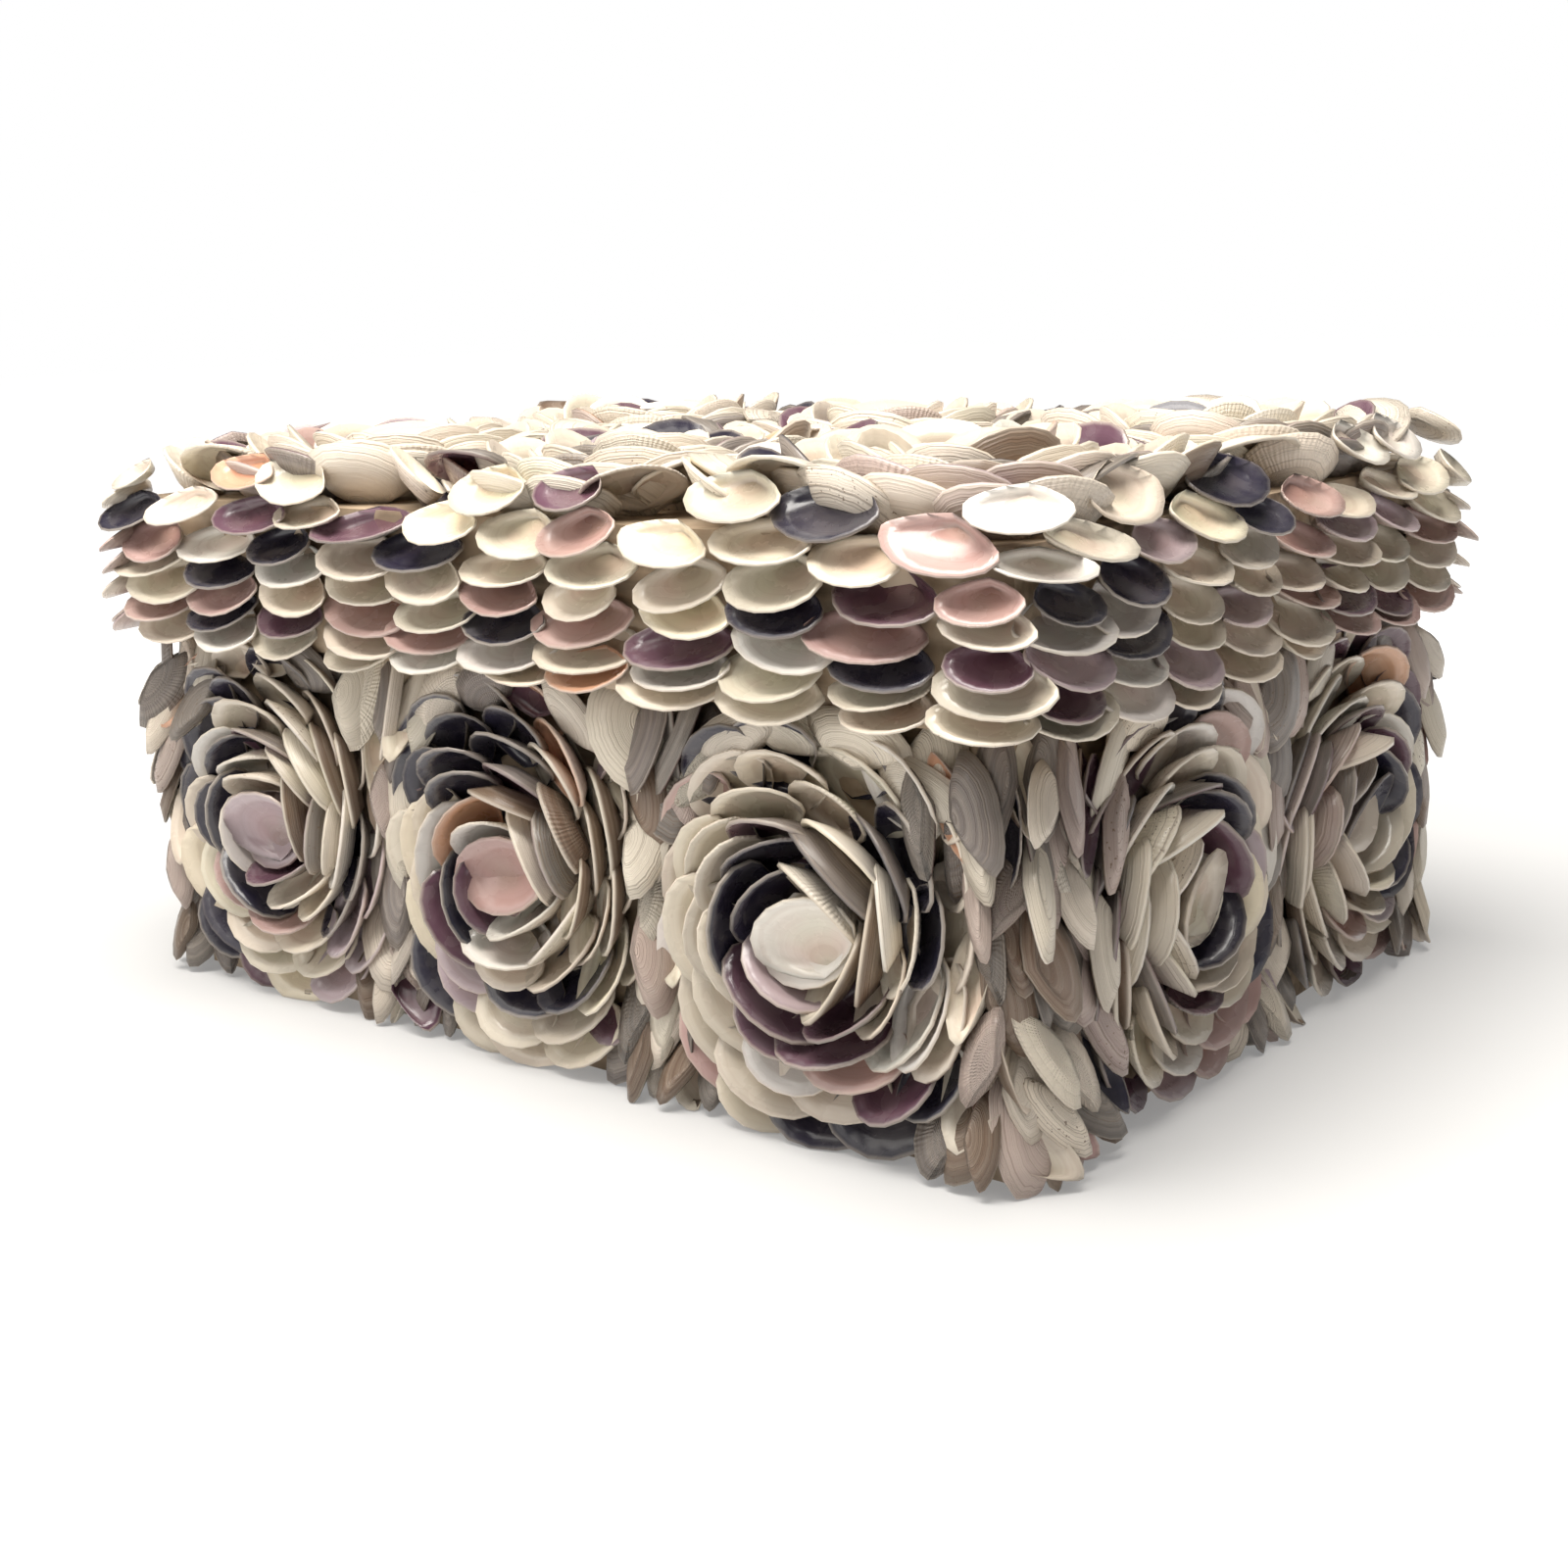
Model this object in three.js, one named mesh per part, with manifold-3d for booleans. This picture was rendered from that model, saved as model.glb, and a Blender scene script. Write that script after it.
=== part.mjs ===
// A rectangular keepsake box with a lift-off lid, covered in small clam shells.
// Shell roses stand on the four walls and on the lid, five rows of shells hang round the lid's rim like
// scales, and upright shells fill the strips between the roses and wrap the four corners.
// Millimetres, +Z up, origin at the middle of the underside. The long walls face -Y and +Y.
import * as THREE from "three";
import { mergeVertices } from "three/addons/utils/BufferGeometryUtils.js";
import Module from "manifold-3d";

const wasm = await Module();
wasm.setup();

// Driving dimensions.
const BOX = { length: 274, width: 203, height: 130.7, wall: 5 };
const LID = { height: 38, board: 5, skirt: 4.5, play: 1 };
const GAP = 0.3; // bare clearance between neighbouring solids
const WALL_ROSE_DEPTH = 15; // how far a rose stands out of its wall
const LID_ROSE_DEPTH = 18;
const ROSE_CENTRES_LONG = [-91, 0, 91];
const ROSE_CENTRES_SHORT = [-39, 56]; // nearer the corner at the left, seen from outside
const ROSE_HALF_WIDTH = 43; // of a rose on a wall
const ROSE_CENTRES_LID = [-95, 0, 95];
const STRIP_DEPTH = 12;
const STRIP_MOST = 24; // the widest that half a strip, or a corner's leg, grows above and below the roses
const STRIP_SHELLS = 6; // shells in the height of a strip
const STRIP_CLEAR = 2; // how much later a strip widens than the rose beside it narrows
const RIM_DEPTH = 12; // how far the rim's scales stand out of the lid's skirt
const RIM_ROOT = 3; // how far the top row is rooted in over the lid's board
const RIM_CREST = 4.5; // how high its root rises above the board
const SCALE_WIDTH = 26;
const SCALE_SAMPLES = [0, 0.25, 0.75]; // places along a scale's edge, from one notch to the next
const SCALE_NOTCH = 3.6; // how high a notch cuts up between two hanging scales
const NOTCH_DEPTH = 3;
const RIM_ROWS = 5; // rows of hanging scales below the row of open cups
const RIM_PITCH = 6.3;
const RIM_VALLEY = 5; // how far the band stands out between two rows
const VALLEY_RISE = 1.5; // how far a row's valley lies below the edge of the row above
const CUP_DROP = 4.5; // how far the cups' free edges lie below the lid's top
const CUP_NOTCH = 1.2;

// A rose's rings of petals from the heart outwards. Reach is a share of the rose's half-width, rise a
// share of its depth, and square tells how far the ring follows the rose's cell instead of a circle.
const RINGS = [
  { petals: 5, reach: 0.31, rise: 1.0, square: 0 },
  { petals: 7, reach: 0.47, rise: 0.98, square: 0 },
  { petals: 9, reach: 0.64, rise: 0.9, square: 0.2 },
  { petals: 11, reach: 0.82, rise: 0.78, square: 0.55 },
  { petals: 13, reach: 1.0, rise: 0.62, square: 1 },
];
const HEART_SINK = 5; // how deep the cup at a rose's heart is
const PETAL_LIP = 7; // how far a petal's edge stands above the valley inside it
const PETAL_SAMPLES = [0, 1 / 3, 2 / 3]; // places along a petal's edge, from one notch to the next
const PETAL_NOTCH = 0.1; // how far a notch draws in, as a share of the ring's radius
const NOTCH_DROP = 2.2;
const VALLEY_TUCK = 1; // how far a valley lies under the petal's edge
const WALL_POWER = 2.6; // superellipse exponent of the outermost ring of a rose on a wall, nearly round
const LID_POWER = 5; // and of one on the lid, which fills its share of the lid

const lidBase = BOX.height + GAP + LID.board - LID.height;
const lidTop = lidBase + LID.height;
const lidLength = BOX.length + 2 * (LID.play + LID.skirt);
const lidWidth = BOX.width + 2 * (LID.play + LID.skirt);
const visible = lidBase - 2 * GAP; // height of wall left for shells below the lid

const wood = new THREE.MeshStandardMaterial({ color: 0xc9a877, roughness: 0.75, metalness: 0 });
const creamShell = new THREE.MeshStandardMaterial({ color: 0xe2d6c2, roughness: 0.3, metalness: 0 });
const violetShell = new THREE.MeshStandardMaterial({ color: 0x7b6472, roughness: 0.3, metalness: 0 });
const greyShell = new THREE.MeshStandardMaterial({ color: 0x9a9086, roughness: 0.55, metalness: 0 });

const part = new THREE.Group();

function addMesh(group, name, geometry, material) {
  const mesh = new THREE.Mesh(geometry, material);
  mesh.name = name;
  group.add(mesh);
  return mesh;
}

// ---- Boards ----

function asManifold(geometry) {
  const bare = geometry.clone();
  bare.deleteAttribute("normal");
  bare.deleteAttribute("uv");
  const merged = mergeVertices(bare);
  return new wasm.Manifold(
    new wasm.Mesh({
      numProp: 3,
      vertProperties: merged.attributes.position.array,
      triVerts: new Uint32Array(merged.index.array),
    }),
  );
}

function fromManifold(solid) {
  const mesh = solid.getMesh();
  const geometry = new THREE.BufferGeometry();
  geometry.setAttribute("position", new THREE.BufferAttribute(mesh.vertProperties, 3));
  geometry.setIndex(new THREE.BufferAttribute(mesh.triVerts, 1));
  geometry.computeVertexNormals();
  return geometry;
}

function block(length, width, low, high) {
  return asManifold(new THREE.BoxGeometry(length, width, high - low).translate(0, 0, (low + high) / 2));
}

// A tray: a block with its inside taken out, open at the top or at the bottom.
function tray(length, width, low, high, wall, insideLow, insideHigh) {
  const inside = block(length - 2 * wall, width - 2 * wall, insideLow, insideHigh);
  return fromManifold(block(length, width, low, high).subtract(inside));
}

// ---- Solids stacked from rows of points ----

// Triangles between two rows, walked together by each point's share of its row. Points are {at, share}.
function zip(rowA, rowB, startA, startB, closed, faces) {
  const lastA = rowA.length - (closed ? 0 : 1);
  const lastB = rowB.length - (closed ? 0 : 1);
  const at = (start, row, i) => start + (i % row.length);
  const share = (row, i) => (i < row.length ? row[i].share : 1 + row[0].share);
  let i = 0;
  let j = 0;
  while (i < lastA || j < lastB) {
    const stepA = j >= lastB || (i < lastA && share(rowA, i + 1) <= share(rowB, j + 1));
    if (stepA) {
      faces.push(at(startA, rowA, i), at(startA, rowA, i + 1), at(startB, rowB, j));
      i += 1;
    } else {
      faces.push(at(startB, rowB, j + 1), at(startB, rowB, j), at(startA, rowA, i));
      j += 1;
    }
  }
}

// A flat cap over the outline points, which are vertices number indices[0], indices[1] and so on.
function capFaces(points, indices, flip, faces) {
  const triangles = THREE.ShapeUtils.triangulateShape(points, []);
  for (const [a, b, c] of triangles) {
    const corners = flip ? [c, b, a] : [a, b, c];
    faces.push(...corners.map((corner) => indices[corner]));
  }
}

function geometryOf(points, faces) {
  const geometry = new THREE.BufferGeometry();
  geometry.setAttribute("position", new THREE.Float32BufferAttribute(points.flatMap((p) => p.toArray()), 3));
  geometry.setIndex(faces);
  geometry.computeVertexNormals();
  return geometry;
}

// Closed loops stacked from the first to the last, which is flat and capped. The first closes on a middle point,
// or is flat and capped too where none is given.
function stackLoops(loops, middle) {
  const points = middle ? [middle] : [];
  const faces = [];
  const starts = [];
  for (const loop of loops) {
    starts.push(points.length);
    points.push(...loop.map((p) => p.at));
  }
  const cap = (loop, start, flip) => {
    const flat = loop.map((p) => new THREE.Vector2(p.at.x, p.at.y));
    capFaces(flat, loop.map((_, i) => start + i), flip, faces);
  };
  const first = loops[0];
  if (middle) {
    first.forEach((_, i) => faces.push(0, starts[0] + i, starts[0] + ((i + 1) % first.length)));
  } else {
    cap(first, starts[0], false);
  }
  for (let k = 0; k + 1 < loops.length; k += 1) {
    zip(loops[k + 1], loops[k], starts[k + 1], starts[k], true, faces);
  }
  cap(loops.at(-1), starts.at(-1), true);
  return geometryOf(points, faces);
}

// Open rows joined into a band that runs round its own section, with both ends capped.
function stackRows(rows) {
  const points = [];
  const starts = [];
  for (const row of rows) {
    starts.push(points.length);
    points.push(...row.map((p) => p.at));
  }
  const faces = [];
  rows.forEach((row, k) => {
    const next = (k + 1) % rows.length;
    zip(rows[next], row, starts[next], starts[k], false, faces);
  });
  const section = rows.map((row) => new THREE.Vector2(row[0].at.z, row[0].at.y));
  capFaces(section, starts, false, faces);
  const far = rows.map((row, k) => starts[k] + row.length - 1);
  capFaces(section, far, true, faces);
  return geometryOf(points, faces);
}

// ---- Shell roses ----

// The radius of a ring at an angle: a circle at the heart, and the rose's own cell at the outside.
function ringRadius(ring, angle, { halfWidth, halfHeight, power: cellPower }) {
  const round = Math.min(halfWidth, halfHeight);
  const a = THREE.MathUtils.lerp(round, halfWidth, ring.square) * ring.reach;
  const b = THREE.MathUtils.lerp(round, halfHeight, ring.square) * ring.reach;
  const power = THREE.MathUtils.lerp(2, cellPower, ring.square);
  const sum = Math.abs(Math.cos(angle) / a) ** power + Math.abs(Math.sin(angle) / b) ** power;
  return sum ** (-1 / power);
}

function ringPoint(ring, share, phase, inset, height, size) {
  const angle = 2 * Math.PI * share + phase;
  const radius = ringRadius(ring, angle, size) * inset - (size.tuck ?? 0);
  return { share, at: new THREE.Vector3(radius * Math.cos(angle), radius * Math.sin(angle), height) };
}

// The scalloped edge of one ring of petals.
function petalEdge(ring, phase, size) {
  const edge = [];
  for (let i = 0; i < ring.petals; i += 1) {
    for (const place of PETAL_SAMPLES) {
      const notched = place === 0 ? 1 : 0;
      const height = size.depth * ring.rise - NOTCH_DROP * notched;
      edge.push(ringPoint(ring, (i + place) / ring.petals, phase, 1 - PETAL_NOTCH * notched, height, size));
    }
  }
  return edge;
}

// The plain loop of a valley under a ring's notches, at a height.
function valleyLoop(ring, phase, height, size) {
  const tucked = { ...size, tuck: VALLEY_TUCK };
  return Array.from({ length: ring.petals }, (_, i) =>
    ringPoint(ring, i / ring.petals, phase, 1 - PETAL_NOTCH, height, tucked),
  );
}

function rose(size, phase) {
  const loops = [];
  RINGS.forEach((ring, k) => {
    loops.push(petalEdge(ring, phase, size));
    const outer = RINGS[k + 1];
    const floor = outer ? size.depth * outer.rise - PETAL_LIP : 0;
    loops.push(valleyLoop(ring, phase, floor, size));
  });
  return stackLoops(loops, new THREE.Vector3(0, 0, size.depth - HEART_SINK));
}

// ---- Scales round the lid's rim ----

function straightRow(count, half, depth, height) {
  const reach = half + depth;
  return Array.from({ length: count + 1 }, (_, i) => {
    const share = i / count;
    return { share, at: new THREE.Vector3((2 * share - 1) * reach, height, depth) };
  });
}

// A row of scales: each has a free edge, and a notch between it and the next.
function scaleRow(count, half, depth, height, notchLift) {
  const row = [];
  for (let i = 0; i <= count; i += 1) {
    for (const place of i < count ? SCALE_SAMPLES : [0]) {
      const share = (i + place) / count;
      const out = place === 0 ? depth - NOTCH_DEPTH : depth;
      const up = place === 0 ? height + notchLift : height;
      row.push({ share, at: new THREE.Vector3((2 * share - 1) * (half + out), up, out) });
    }
  }
  return row;
}

// The band of shells on one side of the lid: a row of open cups that slopes down from the board's top, then the
// hanging rows.
function rimBand(half) {
  const count = Math.round((2 * (half + RIM_DEPTH)) / SCALE_WIDTH);
  const cupEdge = lidTop - CUP_DROP;
  const rows = [
    straightRow(count, half, 0, lidTop + GAP),
    straightRow(count, half, -RIM_ROOT, lidTop + GAP),
    straightRow(count, half, -RIM_ROOT, lidTop + RIM_CREST),
    scaleRow(count, half, RIM_DEPTH, cupEdge, CUP_NOTCH),
    straightRow(count, half, RIM_VALLEY, cupEdge - VALLEY_RISE),
  ];
  for (let k = RIM_ROWS - 1; k >= 0; k -= 1) {
    const foot = lidBase + k * RIM_PITCH;
    const staggered = count + (k % 2 ? 1 : 0);
    rows.push(scaleRow(staggered, half, RIM_DEPTH, foot, SCALE_NOTCH));
    if (k > 0) {
      rows.push(straightRow(staggered, half, RIM_VALLEY, foot - VALLEY_RISE));
    }
  }
  rows.push(straightRow(count, half, 0, lidBase + 2));
  return stackRows(rows);
}

// ---- Upright strips ----

// A strip of overlapping shells that hang down. The outline, given a level from foot to top, swells to each
// shell's foot.
function hangingStrip(outline, height) {
  const loops = [];
  const pitch = height / STRIP_SHELLS;
  for (let i = STRIP_SHELLS - 1; i >= 0; i -= 1) {
    for (const [level, swell] of [[0.99, 0.72], [0.01, 1]]) {
      const z = (i + level) * pitch;
      const points = outline(z, swell);
      loops.push(points.map(([x, y], j) => ({ share: j / points.length, at: new THREE.Vector3(x, y, z) })));
    }
  }
  return stackLoops(loops);
}

// The width left beside a rose at a level, from the rose's edge to a line that stands off its centre.
function besideRose(z, standOff) {
  const rise = Math.max(0, Math.abs(z - visible / 2) - STRIP_CLEAR) / (visible / 2);
  const roseEdge = ROSE_HALF_WIDTH * (1 - rise ** WALL_POWER) ** (1 / WALL_POWER);
  return Math.min(standOff - roseEdge - GAP, STRIP_MOST);
}

// A strip between two roses: flat at the wall, with a ridge down its middle.
function stripOutline(standOff) {
  return (z, swell) => {
    const half = besideRose(z, standOff);
    const shoulder = STRIP_DEPTH * 0.6 * swell;
    return [
      [-half, 0],
      [-half * swell, -shoulder],
      [0, -STRIP_DEPTH * swell],
      [half * swell, -shoulder],
      [half, 0],
    ];
  };
}

// A corner's shells: a rounded hood outside the box's edge, with a leg on each wall.
function cornerOutline(standOffLeft, standOffRight) {
  return (z, swell) => {
    const out = STRIP_DEPTH * swell;
    const diagonal = out * 0.75;
    const left = besideRose(z, standOffLeft);
    const right = besideRose(z, standOffRight);
    return [
      [0, 0],
      [-left, 0],
      [-left * swell, -out * 0.6],
      [diagonal * 0.2, -out],
      [diagonal, -diagonal],
      [out, -diagonal * 0.2],
      [out * 0.6, right * swell],
      [0, right],
    ];
  };
}

// ---- Assembly ----

// A group on one wall: x runs along the wall, y is up and z stands out of it.
function wallGroup(turn, distance) {
  const turned = new THREE.Group();
  turned.rotation.z = turn;
  const upright = new THREE.Group();
  upright.rotation.x = Math.PI / 2;
  upright.position.y = -distance;
  turned.add(upright);
  part.add(turned);
  return upright;
}

const WALLS = [
  { side: "front", turn: 0, long: true },
  { side: "right", turn: Math.PI / 2, long: false },
  { side: "back", turn: Math.PI, long: true },
  { side: "left", turn: -Math.PI / 2, long: false },
];

function addBoards() {
  addMesh(part, "box", tray(BOX.length, BOX.width, 0, BOX.height, BOX.wall, BOX.wall, BOX.height + 1), wood);
  const under = BOX.height + GAP;
  addMesh(part, "lid", tray(lidLength, lidWidth, lidBase, lidTop, LID.skirt, lidBase - 1, under), wood);
}

// The roses and strips of one wall of the box.
function addWallShells({ side, turn, long }) {
  const distance = (long ? BOX.width : BOX.length) / 2 + GAP;
  const group = wallGroup(turn, distance);
  const centres = long ? ROSE_CENTRES_LONG : ROSE_CENTRES_SHORT;
  const size = {
    halfWidth: ROSE_HALF_WIDTH,
    halfHeight: visible / 2,
    power: WALL_POWER,
    depth: WALL_ROSE_DEPTH,
  };
  centres.forEach((x, i) => {
    const mesh = addMesh(group, `rose_${side}_${i + 1}`, rose(size, i * 0.7), creamShell);
    mesh.position.set(x, GAP + visible / 2, 0);
  });
  for (let i = 0; i + 1 < centres.length; i += 1) {
    const strip = hangingStrip(stripOutline((centres[i + 1] - centres[i]) / 2), visible);
    const mesh = addMesh(group, `strip_${side}_${i + 1}`, strip, greyShell);
    mesh.rotation.x = -Math.PI / 2;
    mesh.position.set((centres[i] + centres[i + 1]) / 2, GAP, 0);
  }
}

// The shells that wrap the box's corner at the right-hand end of a wall.
function addCorner({ turn, long }, name) {
  const turned = new THREE.Group();
  turned.rotation.z = turn;
  const along = (long ? BOX.length : BOX.width) / 2 + GAP;
  const across = (long ? BOX.width : BOX.length) / 2 + GAP;
  const lastRose = (long ? ROSE_CENTRES_LONG : ROSE_CENTRES_SHORT).at(-1);
  const firstRose = (long ? ROSE_CENTRES_SHORT : ROSE_CENTRES_LONG)[0];
  const shells = hangingStrip(cornerOutline(along - lastRose, across + firstRose), visible);
  const mesh = addMesh(turned, name, shells, greyShell);
  mesh.position.set(along, -across, GAP);
  part.add(turned);
}

function addRim({ side, turn, long }) {
  const distance = (long ? lidWidth : lidLength) / 2 + GAP;
  const half = (long ? lidLength : lidWidth) / 2;
  addMesh(wallGroup(turn, distance), `rim_${side}`, rimBand(half), violetShell);
}

function addLidRoses() {
  const halfWidth = (ROSE_CENTRES_LID[1] - ROSE_CENTRES_LID[0] - GAP) / 2;
  const halfHeight = (lidWidth / 2 - GAP) / 2;
  const size = { halfWidth, halfHeight, power: LID_POWER, depth: LID_ROSE_DEPTH };
  const y = halfHeight + GAP / 2;
  let count = 0;
  for (const row of [-y, y]) {
    for (const x of ROSE_CENTRES_LID) {
      count += 1;
      const mesh = addMesh(part, `rose_lid_${count}`, rose(size, count * 0.5), creamShell);
      mesh.position.set(x, row, lidTop + GAP);
    }
  }
}

addBoards();
WALLS.forEach(addWallShells);
WALLS.forEach((wall, i) => addCorner(wall, `corner_${i + 1}`));
WALLS.forEach(addRim);
addLidRoses();

export default part;
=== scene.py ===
"""Looks of a keepsake box covered in small clam shells: every shell of its roses, rim, strips and corners is
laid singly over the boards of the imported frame."""

import math
import random

import bpy
from mathutils import Matrix, Vector


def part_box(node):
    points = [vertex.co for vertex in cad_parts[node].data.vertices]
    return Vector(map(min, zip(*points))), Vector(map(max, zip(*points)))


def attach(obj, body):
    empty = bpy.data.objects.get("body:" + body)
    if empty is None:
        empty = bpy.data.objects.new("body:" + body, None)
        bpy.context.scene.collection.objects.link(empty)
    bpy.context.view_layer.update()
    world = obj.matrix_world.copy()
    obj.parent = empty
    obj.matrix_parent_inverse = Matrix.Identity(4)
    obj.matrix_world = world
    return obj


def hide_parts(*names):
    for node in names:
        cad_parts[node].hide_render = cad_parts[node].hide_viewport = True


bl_info = {
    "name": "Shell box",
    "version": (1, 0, 0),
    "blender": (4, 5, 0),
    "location": "3D View > Sidebar > Shell box",
    "description": "Lays the shells of a keepsake box over its boards",
    "category": "Object",
}

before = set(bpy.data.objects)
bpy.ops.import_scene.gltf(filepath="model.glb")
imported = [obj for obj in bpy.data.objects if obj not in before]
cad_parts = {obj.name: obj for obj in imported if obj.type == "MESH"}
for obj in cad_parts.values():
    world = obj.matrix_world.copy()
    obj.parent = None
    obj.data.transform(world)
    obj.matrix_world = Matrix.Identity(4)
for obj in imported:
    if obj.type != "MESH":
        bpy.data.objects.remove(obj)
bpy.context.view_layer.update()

SHAPES = ("oval", "left_pointed", "right_pointed", "round", "slender")
ROUNDED = ("oval", "round")
PLUMP = ("oval", "round", "left_pointed", "right_pointed")
SLIM = ("slender", "left_pointed", "right_pointed")
# The sides of the box seen from outside: along each, up it and out of it.
SIDES = {
    "front": ((1, 0, 0), (0, 0, 1), (0, -1, 0)),
    "right": ((0, 1, 0), (0, 0, 1), (1, 0, 0)),
    "back": ((-1, 0, 0), (0, 0, 1), (0, 1, 0)),
    "left": ((0, -1, 0), (0, 0, 1), (-1, 0, 0)),
    "lid": ((1, 0, 0), (0, 1, 0), (0, 0, 1)),
}
UP = Vector((0, 0, 1))
TABLE_GAP = 0.0003  # every shell ends this far above the table, or higher


# ---- Settings ----


def length(name, description, default):
    return bpy.props.FloatProperty(
        name=name, description=description, default=default, unit="LENGTH", precision=5
    )


def amount(name, description, default):
    return bpy.props.FloatProperty(name=name, description=description, default=default)


def angle(name, description, default):
    return bpy.props.FloatProperty(
        name=name, description=description, default=math.radians(default), subtype="ANGLE"
    )


def whole(name, description, default):
    return bpy.props.IntProperty(name=name, description=description, default=default)


def colour(name, description, default):
    return bpy.props.FloatVectorProperty(
        name=name, description=description, default=default, size=3, subtype="COLOR", min=0, max=1
    )


class ShellSettings(bpy.types.PropertyGroup):
    width: length("Width", "Length of a shell along its hinge side", 0.0262)
    height: length("Height", "From the beak to the free edge", 0.0176)
    depth: length("Depth", "How deep the hollow is", 0.0040)
    wall: length("Wall", "Thickness of the shell's free edge", 0.0008)
    beak_wall: length("Beak wall", "Thickness at the beak", 0.0015)
    spokes: whole("Spokes", "Points round a shell", 16)
    size_spread: amount("Size spread", "How much shells differ in size", 0.06)
    turn_spread: angle("Turn spread", "How far a shell may lie off its place", 5)
    seed: whole("Seed", "Seed of every random choice", 11)


class ColourSettings(bpy.types.PropertyGroup):
    ivory: colour("Ivory", "Inside of an ivory shell", (0.68, 0.605, 0.495))
    pearl: colour("Pearl", "Inside of a pearly white shell", (0.69, 0.65, 0.60))
    butter: colour("Butter", "Inside of a yellowish shell", (0.73, 0.65, 0.50))
    blush: colour("Blush", "Inside of a pink shell", (0.46, 0.30, 0.27))
    peach: colour("Peach", "Inside of a peach shell", (0.58, 0.32, 0.20))
    mauve: colour("Mauve", "Inside of a mauve shell", (0.115, 0.055, 0.080))
    navy: colour("Navy", "Inside of a nearly black violet shell", (0.022, 0.019, 0.036))
    lilac: colour("Lilac", "Inside of a pale lilac shell", (0.42, 0.33, 0.355))
    lip: colour("Lip", "Free edge of most shells", (0.66, 0.58, 0.49))
    cream_back: colour("Cream back", "Outside of a pale shell", (0.64, 0.57, 0.475))
    blush_back: colour("Blush back", "Outside of a pink shell", (0.42, 0.325, 0.29))
    grey_back: colour("Grey back", "Outside of a dark shell", (0.16, 0.135, 0.12))
    brown_back: colour("Brown back", "Outside of a brown shell", (0.155, 0.10, 0.065))
    line: colour("Growth line", "Stain along the growth lines", (0.16, 0.10, 0.06))
    board: colour("Board", "Wood of the box", (0.36, 0.265, 0.175))
    glue: colour("Glue", "Dried glue on the wood", (0.50, 0.385, 0.27))


class LayoutSettings(bpy.types.PropertyGroup):
    cup_tilt: angle("Cup tilt", "Slope of the rim's top row, from upright", 53)
    cup_drop: length("Cup drop", "Depth of the cups' lips below the lid's top board", 0.0066)
    cup_width: length("Cup width", "Distance between two cups", 0.0244)
    collar_tilt: angle("Collar tilt", "Slope of the shells above the cups, from upright", 50)
    collar_rise: length("Collar rise", "Height of those shells' lips over the lid's top board", 0.0028)
    collar_reach: length("Collar reach", "How far those lips stand out from the lid's boards", 0.0092)
    collar_share: amount("Collar share", "Share of the places above the cups that hold a shell", 0.55)
    scale_tilt: angle("Scale tilt", "Slope of the rim's hanging shells, from upright", 50)
    scale_pitch: length("Scale pitch", "Height between two shells of a stack", 0.0063)
    scale_width: length("Scale width", "Distance between two stacks of shells", 0.0262)
    rim_reach: length("Rim reach", "How far the lips stand out from the lid's boards", 0.0130)
    rim_round: length("Rim rounding", "Radius at which the rows turn the corner", 0.006)
    hang_tilt: angle("Hang tilt", "How far the foot of a hanging shell stands out", 17)
    hang_pitch: length("Hang pitch", "Height between two rows of hanging shells", 0.0135)
    hang_flare: angle("Hang flare", "How much further the lowest hanging shells stand out", 18)
    hang_tuck: length("Hang tuck", "How far hanging shells reach under the roses beside them", 0.005)
    hang_width: length("Hang width", "Distance between two hanging shells side by side", 0.0100)


class StageSettings(bpy.types.PropertyGroup):
    camera_place: bpy.props.FloatVectorProperty(
        name="Camera place", description="Where the camera stands", default=(0.352, -0.4423, 0.1841), size=3,
        subtype="TRANSLATION", unit="LENGTH",
    )
    camera_yaw: angle("Camera yaw", "Heading of the camera, from +Y towards +X", -38.66)
    camera_pitch: angle("Camera pitch", "How far the camera looks down", 13.4)
    camera_roll: angle("Camera roll", "Lean of the camera", -1.74)
    lens: amount("Lens", "Focal length in millimetres", 46.75)
    floor_shade: colour("Floor", "Colour of the floor", (0.46, 0.46, 0.46))
    floor_glow: amount("Floor glow", "How much the floor far away shines by itself", 0.9)
    top_power: amount("Top light", "Power of the light above the lid, in watts", 24)
    key_power: amount("Key light", "Power of the light above the front, in watts", 6)
    fill_power: amount("Fill light", "Power of the light on the left, in watts", 4)
    sky: amount("Sky", "Strength of the light from all round", 0.20)


class ShellBoxSettings(bpy.types.PropertyGroup):
    shell: bpy.props.PointerProperty(type=ShellSettings, name="Shells", description="Sizes of the shells")
    colours: bpy.props.PointerProperty(type=ColourSettings, name="Colours", description="Colours of the pieces")
    layout: bpy.props.PointerProperty(type=LayoutSettings, name="Layout", description="How shells are laid")
    stage: bpy.props.PointerProperty(type=StageSettings, name="Stage", description="Camera, lights and floor")


def settings():
    return bpy.context.scene.shell_box


# ---- Node helpers ----


def add_node(tree, kind, values=None, **options):
    """A node with its options set, and its sockets given a value or linked from another socket."""
    node = tree.nodes.new(kind)
    for key, value in options.items():
        setattr(node, key, value)
    for key, value in (values or {}).items():
        if isinstance(value, bpy.types.NodeSocket):
            tree.links.new(value, node.inputs[key])
        else:
            node.inputs[key].default_value = value
    return node


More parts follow.
